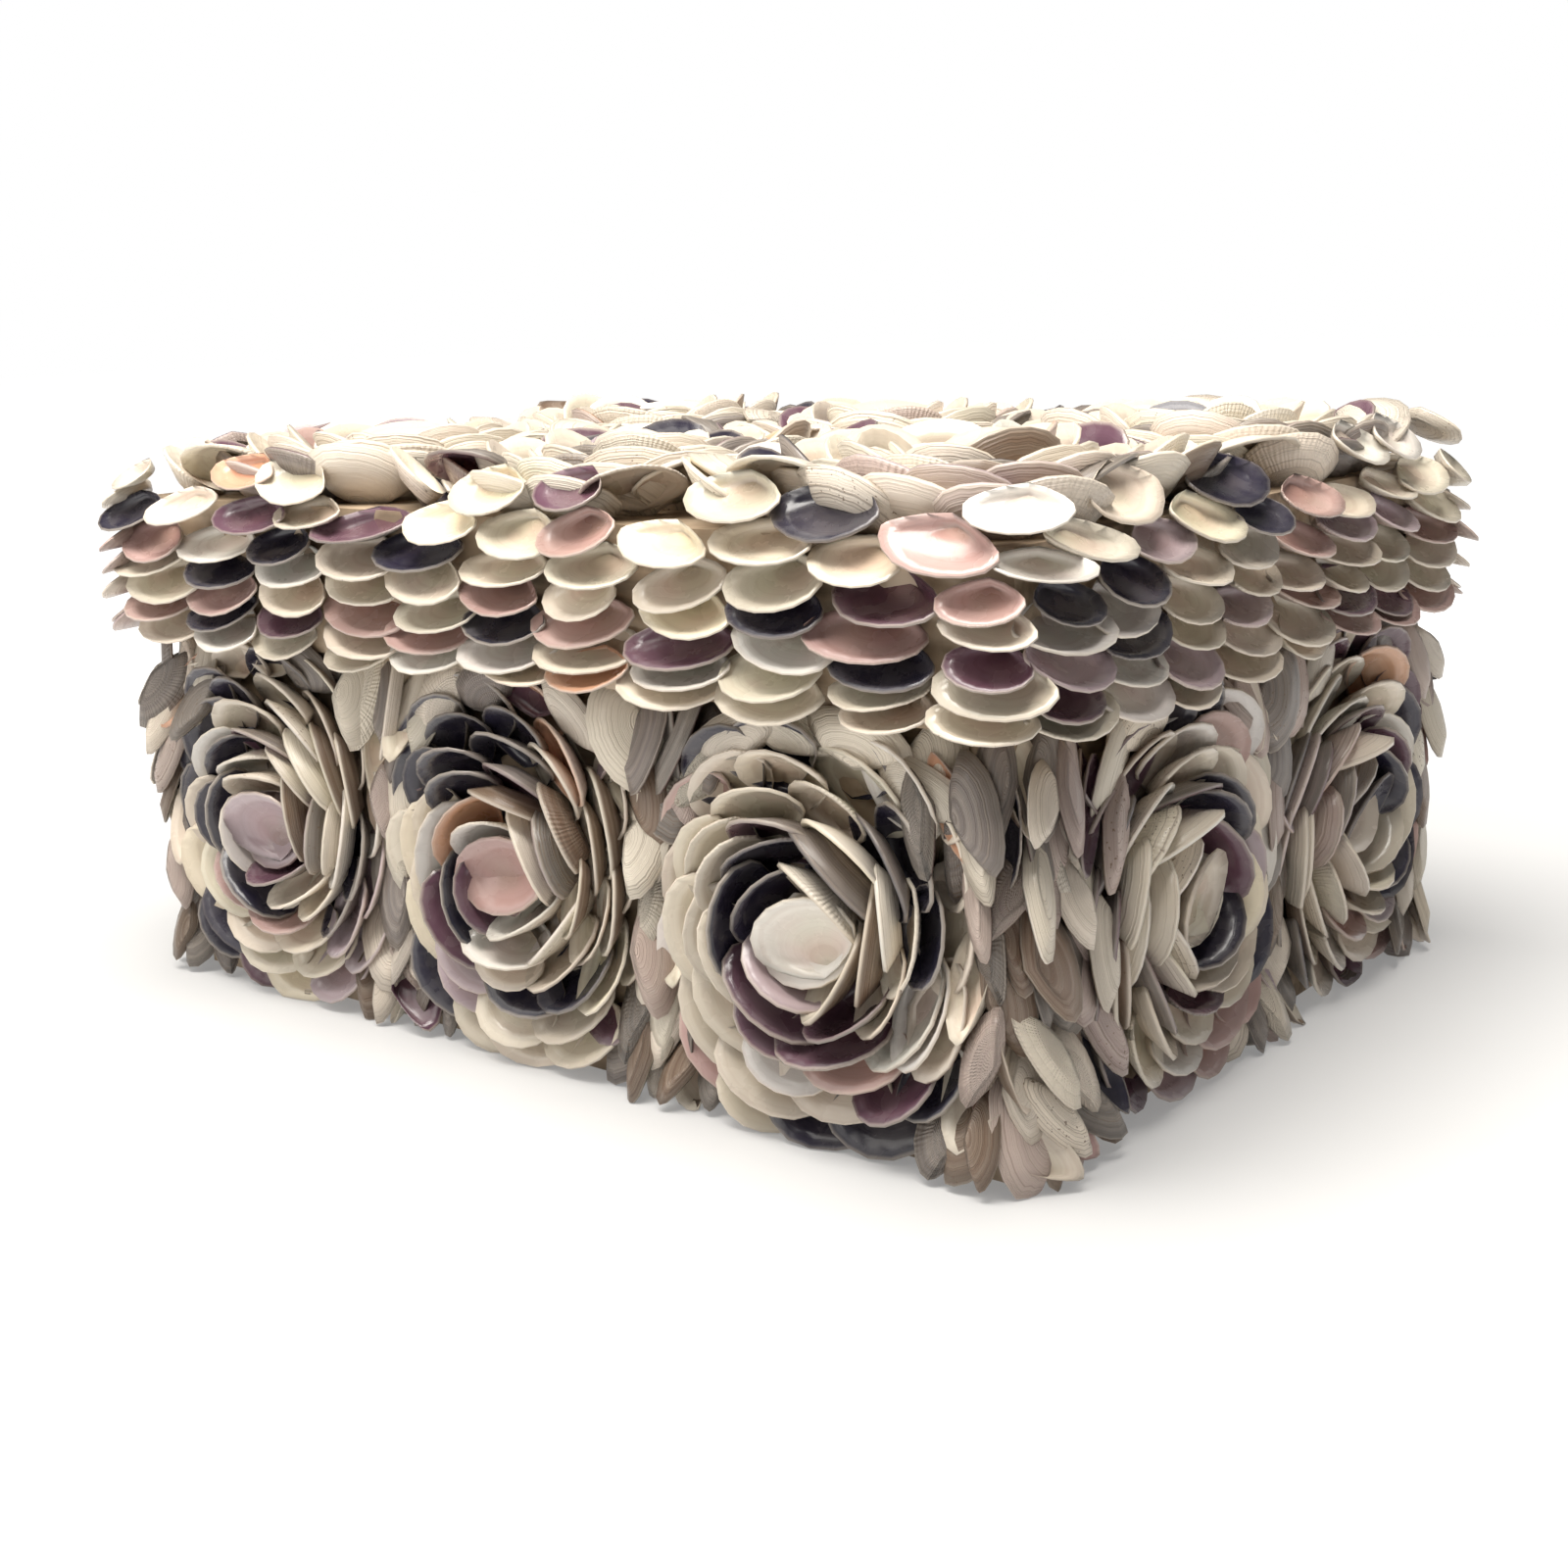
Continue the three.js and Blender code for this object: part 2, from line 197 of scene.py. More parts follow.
class Shader:
    """Short names for the nodes of one material."""

    def __init__(self, name):
        self.material = bpy.data.materials.new(name)
        self.material.use_nodes = True
        self.tree = self.material.node_tree
        self.surface = self.tree.nodes["Principled BSDF"]

    def attribute(self, name, output="Fac"):
        return add_node(self.tree, "ShaderNodeAttribute", attribute_name=name).outputs[output]

    def place(self):
        return add_node(self.tree, "ShaderNodeTexCoord").outputs["Object"]

    def math(self, operation, first, second=0.0):
        values = {0: first, 1: second}
        return add_node(self.tree, "ShaderNodeMath", values, operation=operation).outputs[0]

    def ramp(self, factor, low, high, to_low=0.0, to_high=1.0):
        values = {"Value": factor, "From Min": low, "From Max": high, "To Min": to_low, "To Max": to_high}
        return add_node(self.tree, "ShaderNodeMapRange", values, interpolation_type="SMOOTHSTEP").outputs[0]

    def mix(self, factor, first, second, blend="MIX"):
        """Two colours mixed. The node's sockets 6 and 7 are the ones that take colours."""
        node = add_node(self.tree, "ShaderNodeMix", data_type="RGBA", blend_type=blend)
        for socket, value in zip((node.inputs[0], node.inputs[6], node.inputs[7]), (factor, first, second)):
            if isinstance(value, bpy.types.NodeSocket):
                self.tree.links.new(value, socket)
            elif isinstance(value, (int, float)):
                socket.default_value = value
            else:
                socket.default_value = (*value, 1)
        return node.outputs[2]

    def noise(self, scale, detail=2.0, at=None, steady=None):
        """Noise in space, or along a single value where one is given as steady."""
        values = {"Scale": scale, "Detail": detail}
        if steady is not None:
            values["W"] = steady
            return add_node(self.tree, "ShaderNodeTexNoise", values, noise_dimensions="1D").outputs[0]
        values["Vector"] = at if at is not None else self.place()
        return add_node(self.tree, "ShaderNodeTexNoise", values).outputs[0]

    def bump(self, height, distance, under=None):
        values = {"Height": height, "Distance": distance, "Strength": 1.0}
        if under is not None:
            values["Normal"] = under
        return add_node(self.tree, "ShaderNodeBump", values).outputs[0]

    def finish(self, **sockets):
        for name, value in sockets.items():
            socket = self.surface.inputs[name.replace("_", " ")]
            if isinstance(value, bpy.types.NodeSocket):
                self.tree.links.new(value, socket)
            else:
                socket.default_value = value
        return self.material


# ---- Materials ----


def shell_material():
    """Polished clam shell. Each shell brings its own inner and outer colour, its luck, and how far a point lies
    from beak to edge (growth), round the edge (spoke), and from the inner to the outer side (side)."""
    pink_sheen = (1.0, 0.93, 0.94)
    green_sheen = (0.95, 1.0, 0.96)
    # Colour of the painted shade deep in each shell's hollow.
    painted_shade_tone = (0.78, 0.68, 0.60)
    band_tone = (0.80, 0.73, 0.70)
    line_depth = 0.00032
    rib_depth = 0.00007
    ribs_round = 58
    c = settings().colours
    s = Shader("shell")
    growth = s.attribute("growth")
    spoke = s.attribute("spoke")
    side = s.attribute("side")
    luck = s.attribute("luck")
    inner = s.attribute("inner", "Color")
    outer = s.attribute("outer", "Color")
    own = s.math("FRACT", s.math("MULTIPLY", luck, 7.3))
    wander = s.math("MULTIPLY", s.noise(170, 1), 0.05)
    years = s.math("ADD", s.math("ADD", growth, wander), s.math("MULTIPLY", luck, 9.0))
    broad = s.noise(7, 2, steady=years)
    fine = s.noise(38, 3, steady=years)
    cloud = s.noise(130, 3)
    speck = s.noise(1100, 1)
    lip_line = s.math("MULTIPLY", s.ramp(growth, 0.955, 1.0), s.ramp(own, 0.0, 1.0, 0.08, 0.38))

    milk = s.mix(s.ramp(cloud, 0.35, 0.75, 0.0, 0.30), inner, s.mix(0.25, inner, c.pearl))
    nacre = s.mix(s.ramp(s.noise(75, 2), 0.35, 0.65), pink_sheen, green_sheen)
    glossy = s.mix(s.ramp(growth, 0.95, 0.4), milk, s.mix(1.0, milk, nacre, "MULTIPLY"))
    # Painted shade: the hollow is darkened towards the beak, where shade falls deep in it.
    deep = s.ramp(growth, 0.80, 0.15, 0.0, 0.6)
    shaded = s.mix(deep, glossy, s.mix(1.0, glossy, painted_shade_tone, "MULTIPLY"))
    banded = s.mix(s.ramp(broad, 0.45, 0.7, 0.0, 0.35), shaded, s.mix(1.0, shaded, band_tone, "MULTIPLY"))
    lipped = s.mix(lip_line, banded, c.lip)

    ringed = s.mix(s.ramp(broad, 0.30, 0.70, 0.0, 0.5), outer, s.mix(0.30, outer, c.cream_back))
    stain = s.math("MULTIPLY", s.ramp(fine, 0.50, 0.72), s.ramp(own, 0.1, 1.0, 0.08, 0.55))
    stained = s.mix(stain, ringed, c.line)
    dotted = s.math("MULTIPLY", s.ramp(speck, 0.66, 0.72, 0.0, 0.8), s.ramp(own, 0.78, 0.80))
    spotted = s.mix(dotted, stained, c.line)
    edged = s.mix(lip_line, spotted, c.lip)
    base = s.mix(side, lipped, edged)

    ribbed = s.ramp(luck, 0.84, 0.87)
    rib = s.math("SINE", s.math("MULTIPLY", spoke, 2 * math.pi * ribs_round))
    rib_height = s.math("MULTIPLY", s.math("MULTIPLY", rib, ribbed), side)
    line_height = s.math("MULTIPLY", fine, s.math("ADD", s.math("MULTIPLY", side, 0.9), 0.1))
    relief = s.bump(line_height, line_depth, under=s.bump(rib_height, rib_depth))
    rough = s.math("ADD", s.math("MULTIPLY", side, 0.16), s.ramp(cloud, 0.3, 0.8, 0.20, 0.36))
    return s.finish(
        Base_Color=base, Roughness=rough, Normal=relief, Coat_Weight=0.25, Coat_Roughness=0.12, IOR=1.5,
        Coat_IOR=1.5,
    )


def board_material():
    """Light wood with smears of dried glue."""
    c = settings().colours
    s = Shader("board")
    along_grain = (6.0, 90.0, 90.0)
    stretched = add_node(s.tree, "ShaderNodeMapping", {"Vector": s.place(), "Scale": along_grain})
    grain = s.noise(4, 5, at=stretched.outputs[0])
    smear = s.noise(60, 4)
    dark = tuple(0.6 * v for v in c.board)
    wood = s.mix(s.ramp(grain, 0.35, 0.7), dark, c.board)
    base = s.mix(s.ramp(smear, 0.42, 0.6, 0.0, 0.9), wood, c.glue)
    return s.finish(
        Base_Color=base, Roughness=s.ramp(smear, 0.42, 0.6, 0.7, 0.35), Normal=s.bump(smear, 0.0008)
    )


# ---- Shells ----


def shell_outline(shape, turn):
    """A point of a shell's edge as shares of its width and height: beak at (0, 0), free edge at y 1."""
    widest = 0.42
    slant = 0.16
    shift = 0.05
    across = math.cos(turn)
    climb = math.sin(turn)
    pointed = {"left_pointed": -1, "right_pointed": 1}.get(shape, 0)
    ratio = {"round": (0.86, 1.04), "slender": (1.04, 0.84)}.get(shape, (1.0, 1.0))
    if climb >= 0:
        y = 0.5 + 0.5 * climb**0.9
    else:
        dome = math.sqrt(1 - across * across)
        roof = 1 - abs(across)
        y = 0.5 - 0.5 * (0.6 * dome + 0.4 * roof)
    drop = slant * max(0.0, across * pointed) ** 2
    x = 0.5 * across + shift * pointed * (1 - across * across)
    return x * ratio[0], (y - (y - widest) * drop * 2) * ratio[1]


def shell_prototype(shape, collection):
    """One valve as a closed mesh: the hollow faces +Z and the free edge +Y."""
    s = settings().shell
    inside = (0.42, 0.78, 1.0)
    outside = (1.0, 0.62)
    crown = 0.10
    lip_over = 0.02
    greatest = 0.614
    spokes = s.spokes
    edge = [shell_outline(shape, 2 * math.pi * i / spokes) for i in range(spokes)]
    rows = []

    def row(growth, lift, side):
        swell = growth + (lip_over if side and growth == 1 else 0)
        points = []
        for i, (x, y) in enumerate(edge):
            at = Vector((x * swell * s.width, (crown + (y - crown) * swell) * s.height, lift))
            points.append((at, growth, i / spokes, side))
        rows.append(points)

    def hollow(growth):
        """Height of the inside, deepest nearer the beak. greatest is about the curve's own greatest value."""
        return -s.depth * (1 - growth * growth) * (0.5 + 0.6 * growth) / greatest

    def thick(growth):
        return s.beak_wall + (s.wall - s.beak_wall) * growth

    for growth in inside:
        row(growth, hollow(growth), 0.0)
    for growth in outside:
        row(growth, hollow(growth) - thick(growth), 1.0)

    flat = [(Vector((0, crown * s.height, hollow(0))), 0.0, 0.5, 0.0)]
    for points in rows:
        flat.extend(points)
    flat.append((Vector((0, crown * s.height, hollow(0) - thick(0))), 0.0, 0.5, 1.0))
    faces = []
    for i in range(spokes):
        faces.append((0, 1 + i, 1 + (i + 1) % spokes))
    for k in range(len(rows) - 1):
        low = 1 + k * spokes
        for i in range(spokes):
            j = (i + 1) % spokes
            faces.append((low + i, low + spokes + i, low + spokes + j, low + j))
    last = 1 + (len(rows) - 1) * spokes
    for i in range(spokes):
        faces.append((last + (i + 1) % spokes, last + i, len(flat) - 1))

    mesh = bpy.data.meshes.new("shell_" + shape)
    mesh.from_pydata([f[0] for f in flat], [], faces)
    for k, name in ((1, "growth"), (2, "spoke"), (3, "side")):
        mesh.attributes.new(name, "FLOAT", "POINT").data.foreach_set("value", [f[k] for f in flat])
    mesh.shade_smooth()
    collection.objects.link(bpy.data.objects.new("shell_" + shape, mesh))


def shell_tree():
    """Lays one of the shells of a collection on every point, turned and sized as the point says."""
    tree = bpy.data.node_groups.new("lay shells", "GeometryNodeTree")
    face = tree.interface
    face.new_socket("Geometry", in_out="INPUT", socket_type="NodeSocketGeometry")
    face.new_socket("Shells", in_out="INPUT", socket_type="NodeSocketCollection")
    face.new_socket("Turn Spread", in_out="INPUT", socket_type="NodeSocketFloat")
    face.new_socket("Size Spread", in_out="INPUT", socket_type="NodeSocketFloat")
    face.new_socket("Seed", in_out="INPUT", socket_type="NodeSocketInt")
    face.new_socket("Material", in_out="INPUT", socket_type="NodeSocketMaterial")
    face.new_socket("Geometry", in_out="OUTPUT", socket_type="NodeSocketGeometry")
    given = add_node(tree, "NodeGroupInput").outputs
    stock = add_node(
        tree, "GeometryNodeCollectionInfo",
        {"Collection": given["Shells"], "Separate Children": True, "Reset Children": True},
    )

    def spread(amount_socket, kind, centre):
        less = add_node(tree, "ShaderNodeMath", {0: centre, 1: amount_socket}, operation="SUBTRACT")
        more = add_node(tree, "ShaderNodeMath", {0: centre, 1: amount_socket}, operation="ADD")
        first = 0 if kind == "FLOAT_VECTOR" else 2
        node = add_node(tree, "FunctionNodeRandomValue", {"Seed": given["Seed"]}, data_type=kind)
        tree.links.new(less.outputs[0], node.inputs[first])
        tree.links.new(more.outputs[0], node.inputs[first + 1])
        return node.outputs[0 if kind == "FLOAT_VECTOR" else 1]

    lean = add_node(
        tree, "FunctionNodeEulerToRotation", {0: spread(given["Turn Spread"], "FLOAT_VECTOR", 0.0)}
    )
    turn = add_node(tree, "GeometryNodeInputNamedAttribute", {"Name": "turn"}, data_type="QUATERNION")
    turned = add_node(
        tree, "FunctionNodeRotateRotation",
        {"Rotation": turn.outputs[0], "Rotate By": lean.outputs[0]}, rotation_space="LOCAL",
    )
    size = add_node(tree, "GeometryNodeInputNamedAttribute", {"Name": "size"}, data_type="FLOAT_VECTOR")
    sized = add_node(
        tree, "ShaderNodeVectorMath",
        {0: size.outputs[0], "Scale": spread(given["Size Spread"], "FLOAT", 1.0)}, operation="SCALE",
    )
    pick = add_node(tree, "GeometryNodeInputNamedAttribute", {"Name": "pick"}, data_type="INT")
    laid = add_node(
        tree, "GeometryNodeInstanceOnPoints",
        {
            "Points": given["Geometry"], "Instance": stock.outputs[0], "Pick Instance": True,
            "Instance Index": pick.outputs[0], "Rotation": turned.outputs[0], "Scale": sized.outputs[0],
        },
    )
    real = add_node(tree, "GeometryNodeRealizeInstances", {"Geometry": laid.outputs[0]})
    painted = add_node(
        tree, "GeometryNodeSetMaterial", {"Geometry": real.outputs[0], "Material": given["Material"]}
    )
    add_node(tree, "NodeGroupOutput", {"Geometry": painted.outputs[0]})
    return tree


# Kinds of shell: colour inside, colour outside, and how common it is.
KINDS = {
    "ivory": ("ivory", "cream_back", 30),
    "pearl": ("pearl", "cream_back", 15),
    "butter": ("butter", "cream_back", 6),
    "blush": ("blush", "blush_back", 5),
    "peach": ("peach", "blush_back", 3),
    "lilac": ("lilac", "blush_back", 7),
    "mauve": ("mauve", "grey_back", 11),
    "navy": ("navy", "grey_back", 15),
    "brown": ("ivory", "brown_back", 7),
}


SHADE_SPREAD = 0.16  # how much lighter or darker than its kind a shell may be
HUE_SPREAD = 0.02  # and how much each of its three colour values may differ besides


class Lay:
    """Shells gathered for one piece, each with its place, its turn, its size and its colours."""

    def __init__(self, name):
        self.name = name
        self.chance = random.Random(f"{name} {settings().shell.seed}")
        self.shells = []

    def kind(self):
        names = list(KINDS)
        return self.chance.choices(names, [KINDS[n][2] for n in names])[0]

    def add(self, tip, edge, hollow, size=1.0, kind=None, shape=None, stretch=(1.0, 1.0, 1.0)):
        """A shell whose free edge lies at tip, grows along edge and opens towards hollow."""
        y = edge.normalized()
        z = (hollow - hollow.dot(y) * y).normalized()
        turn = Matrix((y.cross(z), y, z)).transposed().to_quaternion()
        foot = tip - y * settings().shell.height * size * stretch[1]
        self.shells.append(
            {
                "foot": foot,
                "turn": turn,
                "size": [size * v for v in stretch],
                "pick": sorted(SHAPES).index(shape or self.chance.choice(SHAPES)),
                "kind": kind or self.kind(),
                "luck": self.chance.random(),
            }
        )

    def tint(self, shade):
        light = 1 + self.chance.uniform(-SHADE_SPREAD, SHADE_SPREAD)
        tinted = [v * light * (1 + self.chance.uniform(-HUE_SPREAD, HUE_SPREAD)) for v in shade]
        return [min(1.0, v) for v in tinted] + [1.0]

    def make(self, tree, stock, material, slot):
        """Turns the gathered shells into one plain mesh."""
        s = settings()
        mesh = bpy.data.meshes.new(self.name + "_points")
        mesh.from_pydata([shell["foot"] for shell in self.shells], [], [])

        def write(name, kind, field, flat):
            mesh.attributes.new(name, kind, "POINT").data.foreach_set(field, flat)

        write("turn", "QUATERNION", "value", [v for shell in self.shells for v in shell["turn"]])
        write("size", "FLOAT_VECTOR", "vector", [v for shell in self.shells for v in shell["size"]])
        write("pick", "INT", "value", [shell["pick"] for shell in self.shells])
        write("luck", "FLOAT", "value", [shell["luck"] for shell in self.shells])
        for k, name in ((0, "inner"), (1, "outer")):
            flat = []
            for shell in self.shells:
                flat += self.tint(getattr(s.colours, KINDS[shell["kind"]][k]))
            write(name, "FLOAT_COLOR", "color", flat)
        points = bpy.data.objects.new(self.name + "_points", mesh)
        bpy.context.scene.collection.objects.link(points)
        modifier = points.modifiers.new("lay shells", "NODES")
        modifier.node_group = tree
        values = {
            "Shells": stock, "Turn Spread": s.shell.turn_spread, "Size Spread": s.shell.size_spread,
            "Seed": sum(map(ord, self.name)), "Material": material,
        }
        for item in tree.interface.items_tree:
            if item.in_out == "INPUT" and item.name in values:
                modifier[item.identifier] = values[item.name]
        graph = bpy.context.evaluated_depsgraph_get()
        made = bpy.data.meshes.new_from_object(points.evaluated_get(graph))
        made.name = self.name + "_shells"
        for vertex in made.vertices:
            vertex.co.z = max(vertex.co.z, TABLE_GAP)
        bpy.data.objects.remove(points)
        bpy.data.meshes.remove(mesh)
        piece = bpy.data.objects.new(self.name + "_shells", made)
        bpy.context.scene.collection.objects.link(piece)
        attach(piece, "root")
        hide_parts(self.name)
        return piece


def finish_piece(lay, slot):
    lay.make(
        bpy.data.node_groups["lay shells"], bpy.data.collections["shells"], bpy.data.materials["shell"], slot
    )


# ---- Where shells lie ----


class Ground:
    """A wall or the lid seen from outside: along it, up it and out of it."""

    def __init__(self, node, side):
        self.along, self.up, self.out = (Vector(v) for v in SIDES[side])
        low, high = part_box(node)
        half = (high - low) / 2
        self.half_width = abs(half.dot(self.along))
        self.half_height = abs(half.dot(self.up))
        self.depth = 2 * abs(half.dot(self.out))
        self.centre = (low + high) / 2 - self.out * self.depth / 2

    def point(self, x, y, out):
        return self.centre + self.along * x + self.up * y + self.out * out


# Rings of a rose from the heart outwards: number of petals, reach as a share of the rose's half width, height
# of the tips as a share of its depth, slope from upright in degrees, and how far the ring fills the cell.
WALL_RINGS = (
    (2, 0.22, 0.95, 78, 0.0),
    (4, 0.34, 1.04, 34, 0.0),
    (6, 0.47, 1.06, 30, 0.1),
    (8, 0.61, 0.98, 42, 0.3),
    (10, 0.75, 0.86, 54, 0.5),
    (12, 0.88, 0.73, 62, 0.8),
    (15, 1.0, 0.57, 67, 1.0),
)
LID_RINGS = (
    (2, 0.20, 0.78, 74, 0.0),
    (5, 0.31, 0.85, 42, 0.0),
    (7, 0.44, 0.87, 43, 0.1),
    (10, 0.58, 0.86, 45, 0.2),
    (13, 0.73, 0.83, 47, 0.5),
    (16, 0.88, 0.79, 50, 0.8),
    (19, 1.03, 0.72, 54, 1.0),
)


LID_SQUARENESS = 5.0  # power of the rounded square that the outermost petals follow: 2 makes an ellipse
WALL_SQUARENESS = 2.6


def ring_curve(reach, square, ground, power):
    """Points along one ring of a rose, from an ellipse at square 0 to the cell's rounded square at 1."""
    steps = 180
    tight = min(ground.half_width, ground.half_height)
    a = reach * (tight + (ground.half_width - tight) * square)
    b = reach * (tight + (ground.half_height - tight) * square)
    bend = 2 + (power - 2) * square
    curve = []
    for i in range(steps):
        turn = 2 * math.pi * i / steps
        c = math.cos(turn)
        s = math.sin(turn)
        x = math.copysign(a * abs(c) ** (2 / bend), c)
        y = math.copysign(b * abs(s) ** (2 / bend), s)
        curve.append(Vector((x, y)))
    return curve


def spaced(curve, count, phase):
    """count places at equal distances along a closed curve, each with the curve's outward direction."""
    closed = curve + curve[:1]
    runs = [0.0]
    for a, b in zip(closed, closed[1:]):
        runs.append(runs[-1] + (b - a).length)
    places = []
    for i in range(count):
        want = ((i + phase) / count % 1.0) * runs[-1]
        k = max(j for j in range(len(curve)) if runs[j] <= want)
        step = closed[k + 1] - closed[k]
        at = closed[k] + step * ((want - runs[k]) / max(step.length, 1e-9))
        places.append((at, Vector((step.y, -step.x)).normalized()))
    return places


# Where a rose's petals share a kind: first ring, last ring, first and last bearing in degrees, counted from the
# right upwards as seen from outside, and the kind.
MOODS = {
    "rose_front_3": (
        (0, 0, 0, 360, "pearl"), (1, 2, 100, 185, "navy"), (3, 3, 100, 140, "mauve"), (1, 1, 200, 300, "lilac"),
        (2, 3, 235, 330, "mauve"), (1, 3, 330, 380, "brown"), (3, 5, 185, 235, "ivory"), (4, 5, 20, 60, "navy"),
        (4, 5, 60, 170, "ivory"), (6, 6, 80, 130, "navy"), (6, 6, 255, 310, "navy"), (5, 6, 205, 232, "blush"),
        (5, 5, 290, 330, "mauve"), (6, 6, 330, 380, "brown"), (5, 6, 235, 290, "ivory"),
    ),
    "rose_front_2": (
        (0, 0, 0, 360, "blush"), (1, 1, 130, 200, "navy"), (1, 2, 230, 330, "pearl"),
        (3, 4, 90, 135, "navy"), (5, 6, 100, 160, "navy"), (4, 5, 160, 215, "butter"),
        (6, 6, 180, 230, "navy"), (3, 6, 330, 400, "brown"), (5, 6, 240, 300, "ivory"),
        (4, 4, 215, 260, "lilac"), (3, 3, 60, 90, "mauve"), (6, 6, 270, 330, "mauve"),
    ),
    "rose_front_1": (
        (0, 0, 0, 360, "lilac"), (1, 1, 215, 300, "mauve"), (2, 2, 190, 240, "navy"), (3, 3, 225, 290, "blush"),
        (3, 3, 70, 120, "mauve"), (5, 6, 110, 185, "navy"), (4, 5, 250, 300, "ivory"), (6, 6, 215, 250, "navy"),
        (4, 6, 20, 60, "brown"), (5, 6, 300, 350, "lilac"),
    ),
    "rose_right_1": (
        (0, 0, 0, 360, "ivory"), (2, 3, 20, 75, "navy"), (1, 1, 270, 330, "navy"), (4, 5, 0, 60, "ivory"),
        (5, 6, 290, 330, "blush"), (6, 6, 60, 110, "navy"), (6, 6, 200, 250, "mauve"),
    ),
    "rose_right_2": (
        (0, 1, 30, 200, "navy"), (3, 4, 300, 400, "navy"), (2, 3, 200, 290, "ivory"), (6, 6, 60, 120, "mauve"),
        (6, 6, 200, 250, "navy"), (5, 6, 330, 380, "blush"),
    ),
}


def mood(node, ring, bearing):
    """The kind that a rose's petals share at a ring and a bearing, where they share one."""
    for first, last, start, stop, kind in MOODS.get(node, ()):
        if first <= ring <= last and (bearing - start) % 360 <= stop - start:
            return kind
    return None


# How petals differ from their ring's own numbers. Angles are in degrees, lengths in metres.
PETAL_LEAN = 7
PETAL_ROLL = 7
PETAL_PINCH = 9  # turn of every petal towards its neighbour, so that they overlap like tiles
PETAL_SIZE = 1.06
PETAL_SIZES = (0.90, 1.09)  # the smallest and the largest, as shares of that size
ROUND_RINGS = 4  # the innermost rings, which hold no pointed shell
HEART_PHASE = 0.62
HEART_SIZE = 1.14
HEART_STEP = 0.0032  # how much lower the heart's second shell lies
LID_UNEVEN = 0.0022  # how much higher or lower a petal may lie
WALL_UNEVEN = 0.0008
LID_TURNED = 0.3  # share of the outermost petals on the lid that show their backs
LID_IVORY = 0.42  # share of the lid's petals that are ivory whatever their luck

# The flat shells tucked in above a rose on a wall.
TUCKED_REACH = 1.07
TUCKED_COUNT = 17
TUCKED_BEARING = 35  # in degrees: none lies lower than this on the rose's right
TUCKED_LEVEL = 0.5  # nor lower than this share of the rose's half height
TUCKED_RISE = 0.4  # height of their tips, as a share of the rose's depth
TUCKED_STRETCH = (1.0, 0.72, 0.6)


def lay_rose(node, side):
    """Rings of petals round a heart of two shells."""
    lay = Lay(node)
    ground = Ground(node, side)
    chance = lay.chance
    on_lid = side == "lid"
    rings = LID_RINGS if on_lid else WALL_RINGS
    power = LID_SQUARENESS if on_lid else WALL_SQUARENESS
    uneven = LID_UNEVEN if on_lid else WALL_UNEVEN
    for k, (count, reach, rise, slope, square) in enumerate(rings):
        curve = ring_curve(reach, square, ground, power)
        phase = HEART_PHASE if k == 0 else chance.random()
        for i, (at, away) in enumerate(spaced(curve, count, phase)):
            mixed = (away + at.normalized()).normalized()
            outward = ground.along * mixed.x + ground.up * mixed.y
            tangent = ground.out.cross(outward)
            lean = math.radians(slope + chance.uniform(-PETAL_LEAN, PETAL_LEAN))
            roll = math.sin(math.radians(chance.uniform(-PETAL_ROLL, PETAL_ROLL)))
            edge = outward * math.sin(lean) + ground.out * math.cos(lean) + tangent * roll
            hollow = ground.out * math.sin(lean) - outward * math.cos(lean)
            pinch = tangent * math.sin(math.radians(PETAL_PINCH))
            height = ground.depth * rise + chance.uniform(-uneven, uneven)
            size = PETAL_SIZE * chance.uniform(*PETAL_SIZES)
            if k == 0:
                height -= HEART_STEP * i
                size = HEART_SIZE
                pinch = Vector((0, 0, 0))
            if on_lid and k == len(rings) - 1 and chance.random() < LID_TURNED:
                hollow = -hollow
            kind = mood(node, k, math.degrees(math.atan2(at.y, at.x)))
            if on_lid and chance.random() < LID_IVORY:
                kind = "ivory"
            shape = chance.choice(ROUNDED if k < ROUND_RINGS else PLUMP)
            lay.add(ground.point(at.x, at.y, height), edge, hollow + pinch, size, kind=kind, shape=shape)
    if not on_lid:
        tuck_above(lay, ground, power)
    finish_piece(lay, "cream_shell")


def tuck_above(lay, ground, power):
    """Flat shells tucked in above a rose on a wall, under the rim."""
    chance = lay.chance
    curve = ring_curve(TUCKED_REACH, 1.0, ground, power)
    for at, away in spaced(curve, TUCKED_COUNT, chance.random()):
        bearing = math.degrees(math.atan2(at.y, at.x))
        if at.y > TUCKED_LEVEL * ground.half_height and bearing > TUCKED_BEARING:
            outward = ground.along * away.x + ground.up * away.y
            edge = outward + ground.out * chance.uniform(0.05, 0.3) + ground.along * chance.uniform(-0.5, 0.5)
            tip = ground.point(at.x, at.y, TUCKED_RISE * ground.depth)
            lay.add(tip, edge, ground.out * chance.choice((-1, 1)), stretch=TUCKED_STRETCH)


def rim_path(offset):
    """Points along the lid's outline seen from above, pushed out by offset and rounded at the corners."""
    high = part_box("lid")[1]
    radius = settings().layout.rim_round
    points = []
    for corner, first in (((1, -1), -90), ((1, 1), 0), ((-1, 1), 90), ((-1, -1), 180)):
        middle = Vector((corner[0] * (high.x - radius), corner[1] * (high.y - radius)))
        for step in range(7):
            turn = math.radians(first + 15 * step)
            points.append(middle + Vector((math.cos(turn), math.sin(turn))) * (radius + offset))
    return points


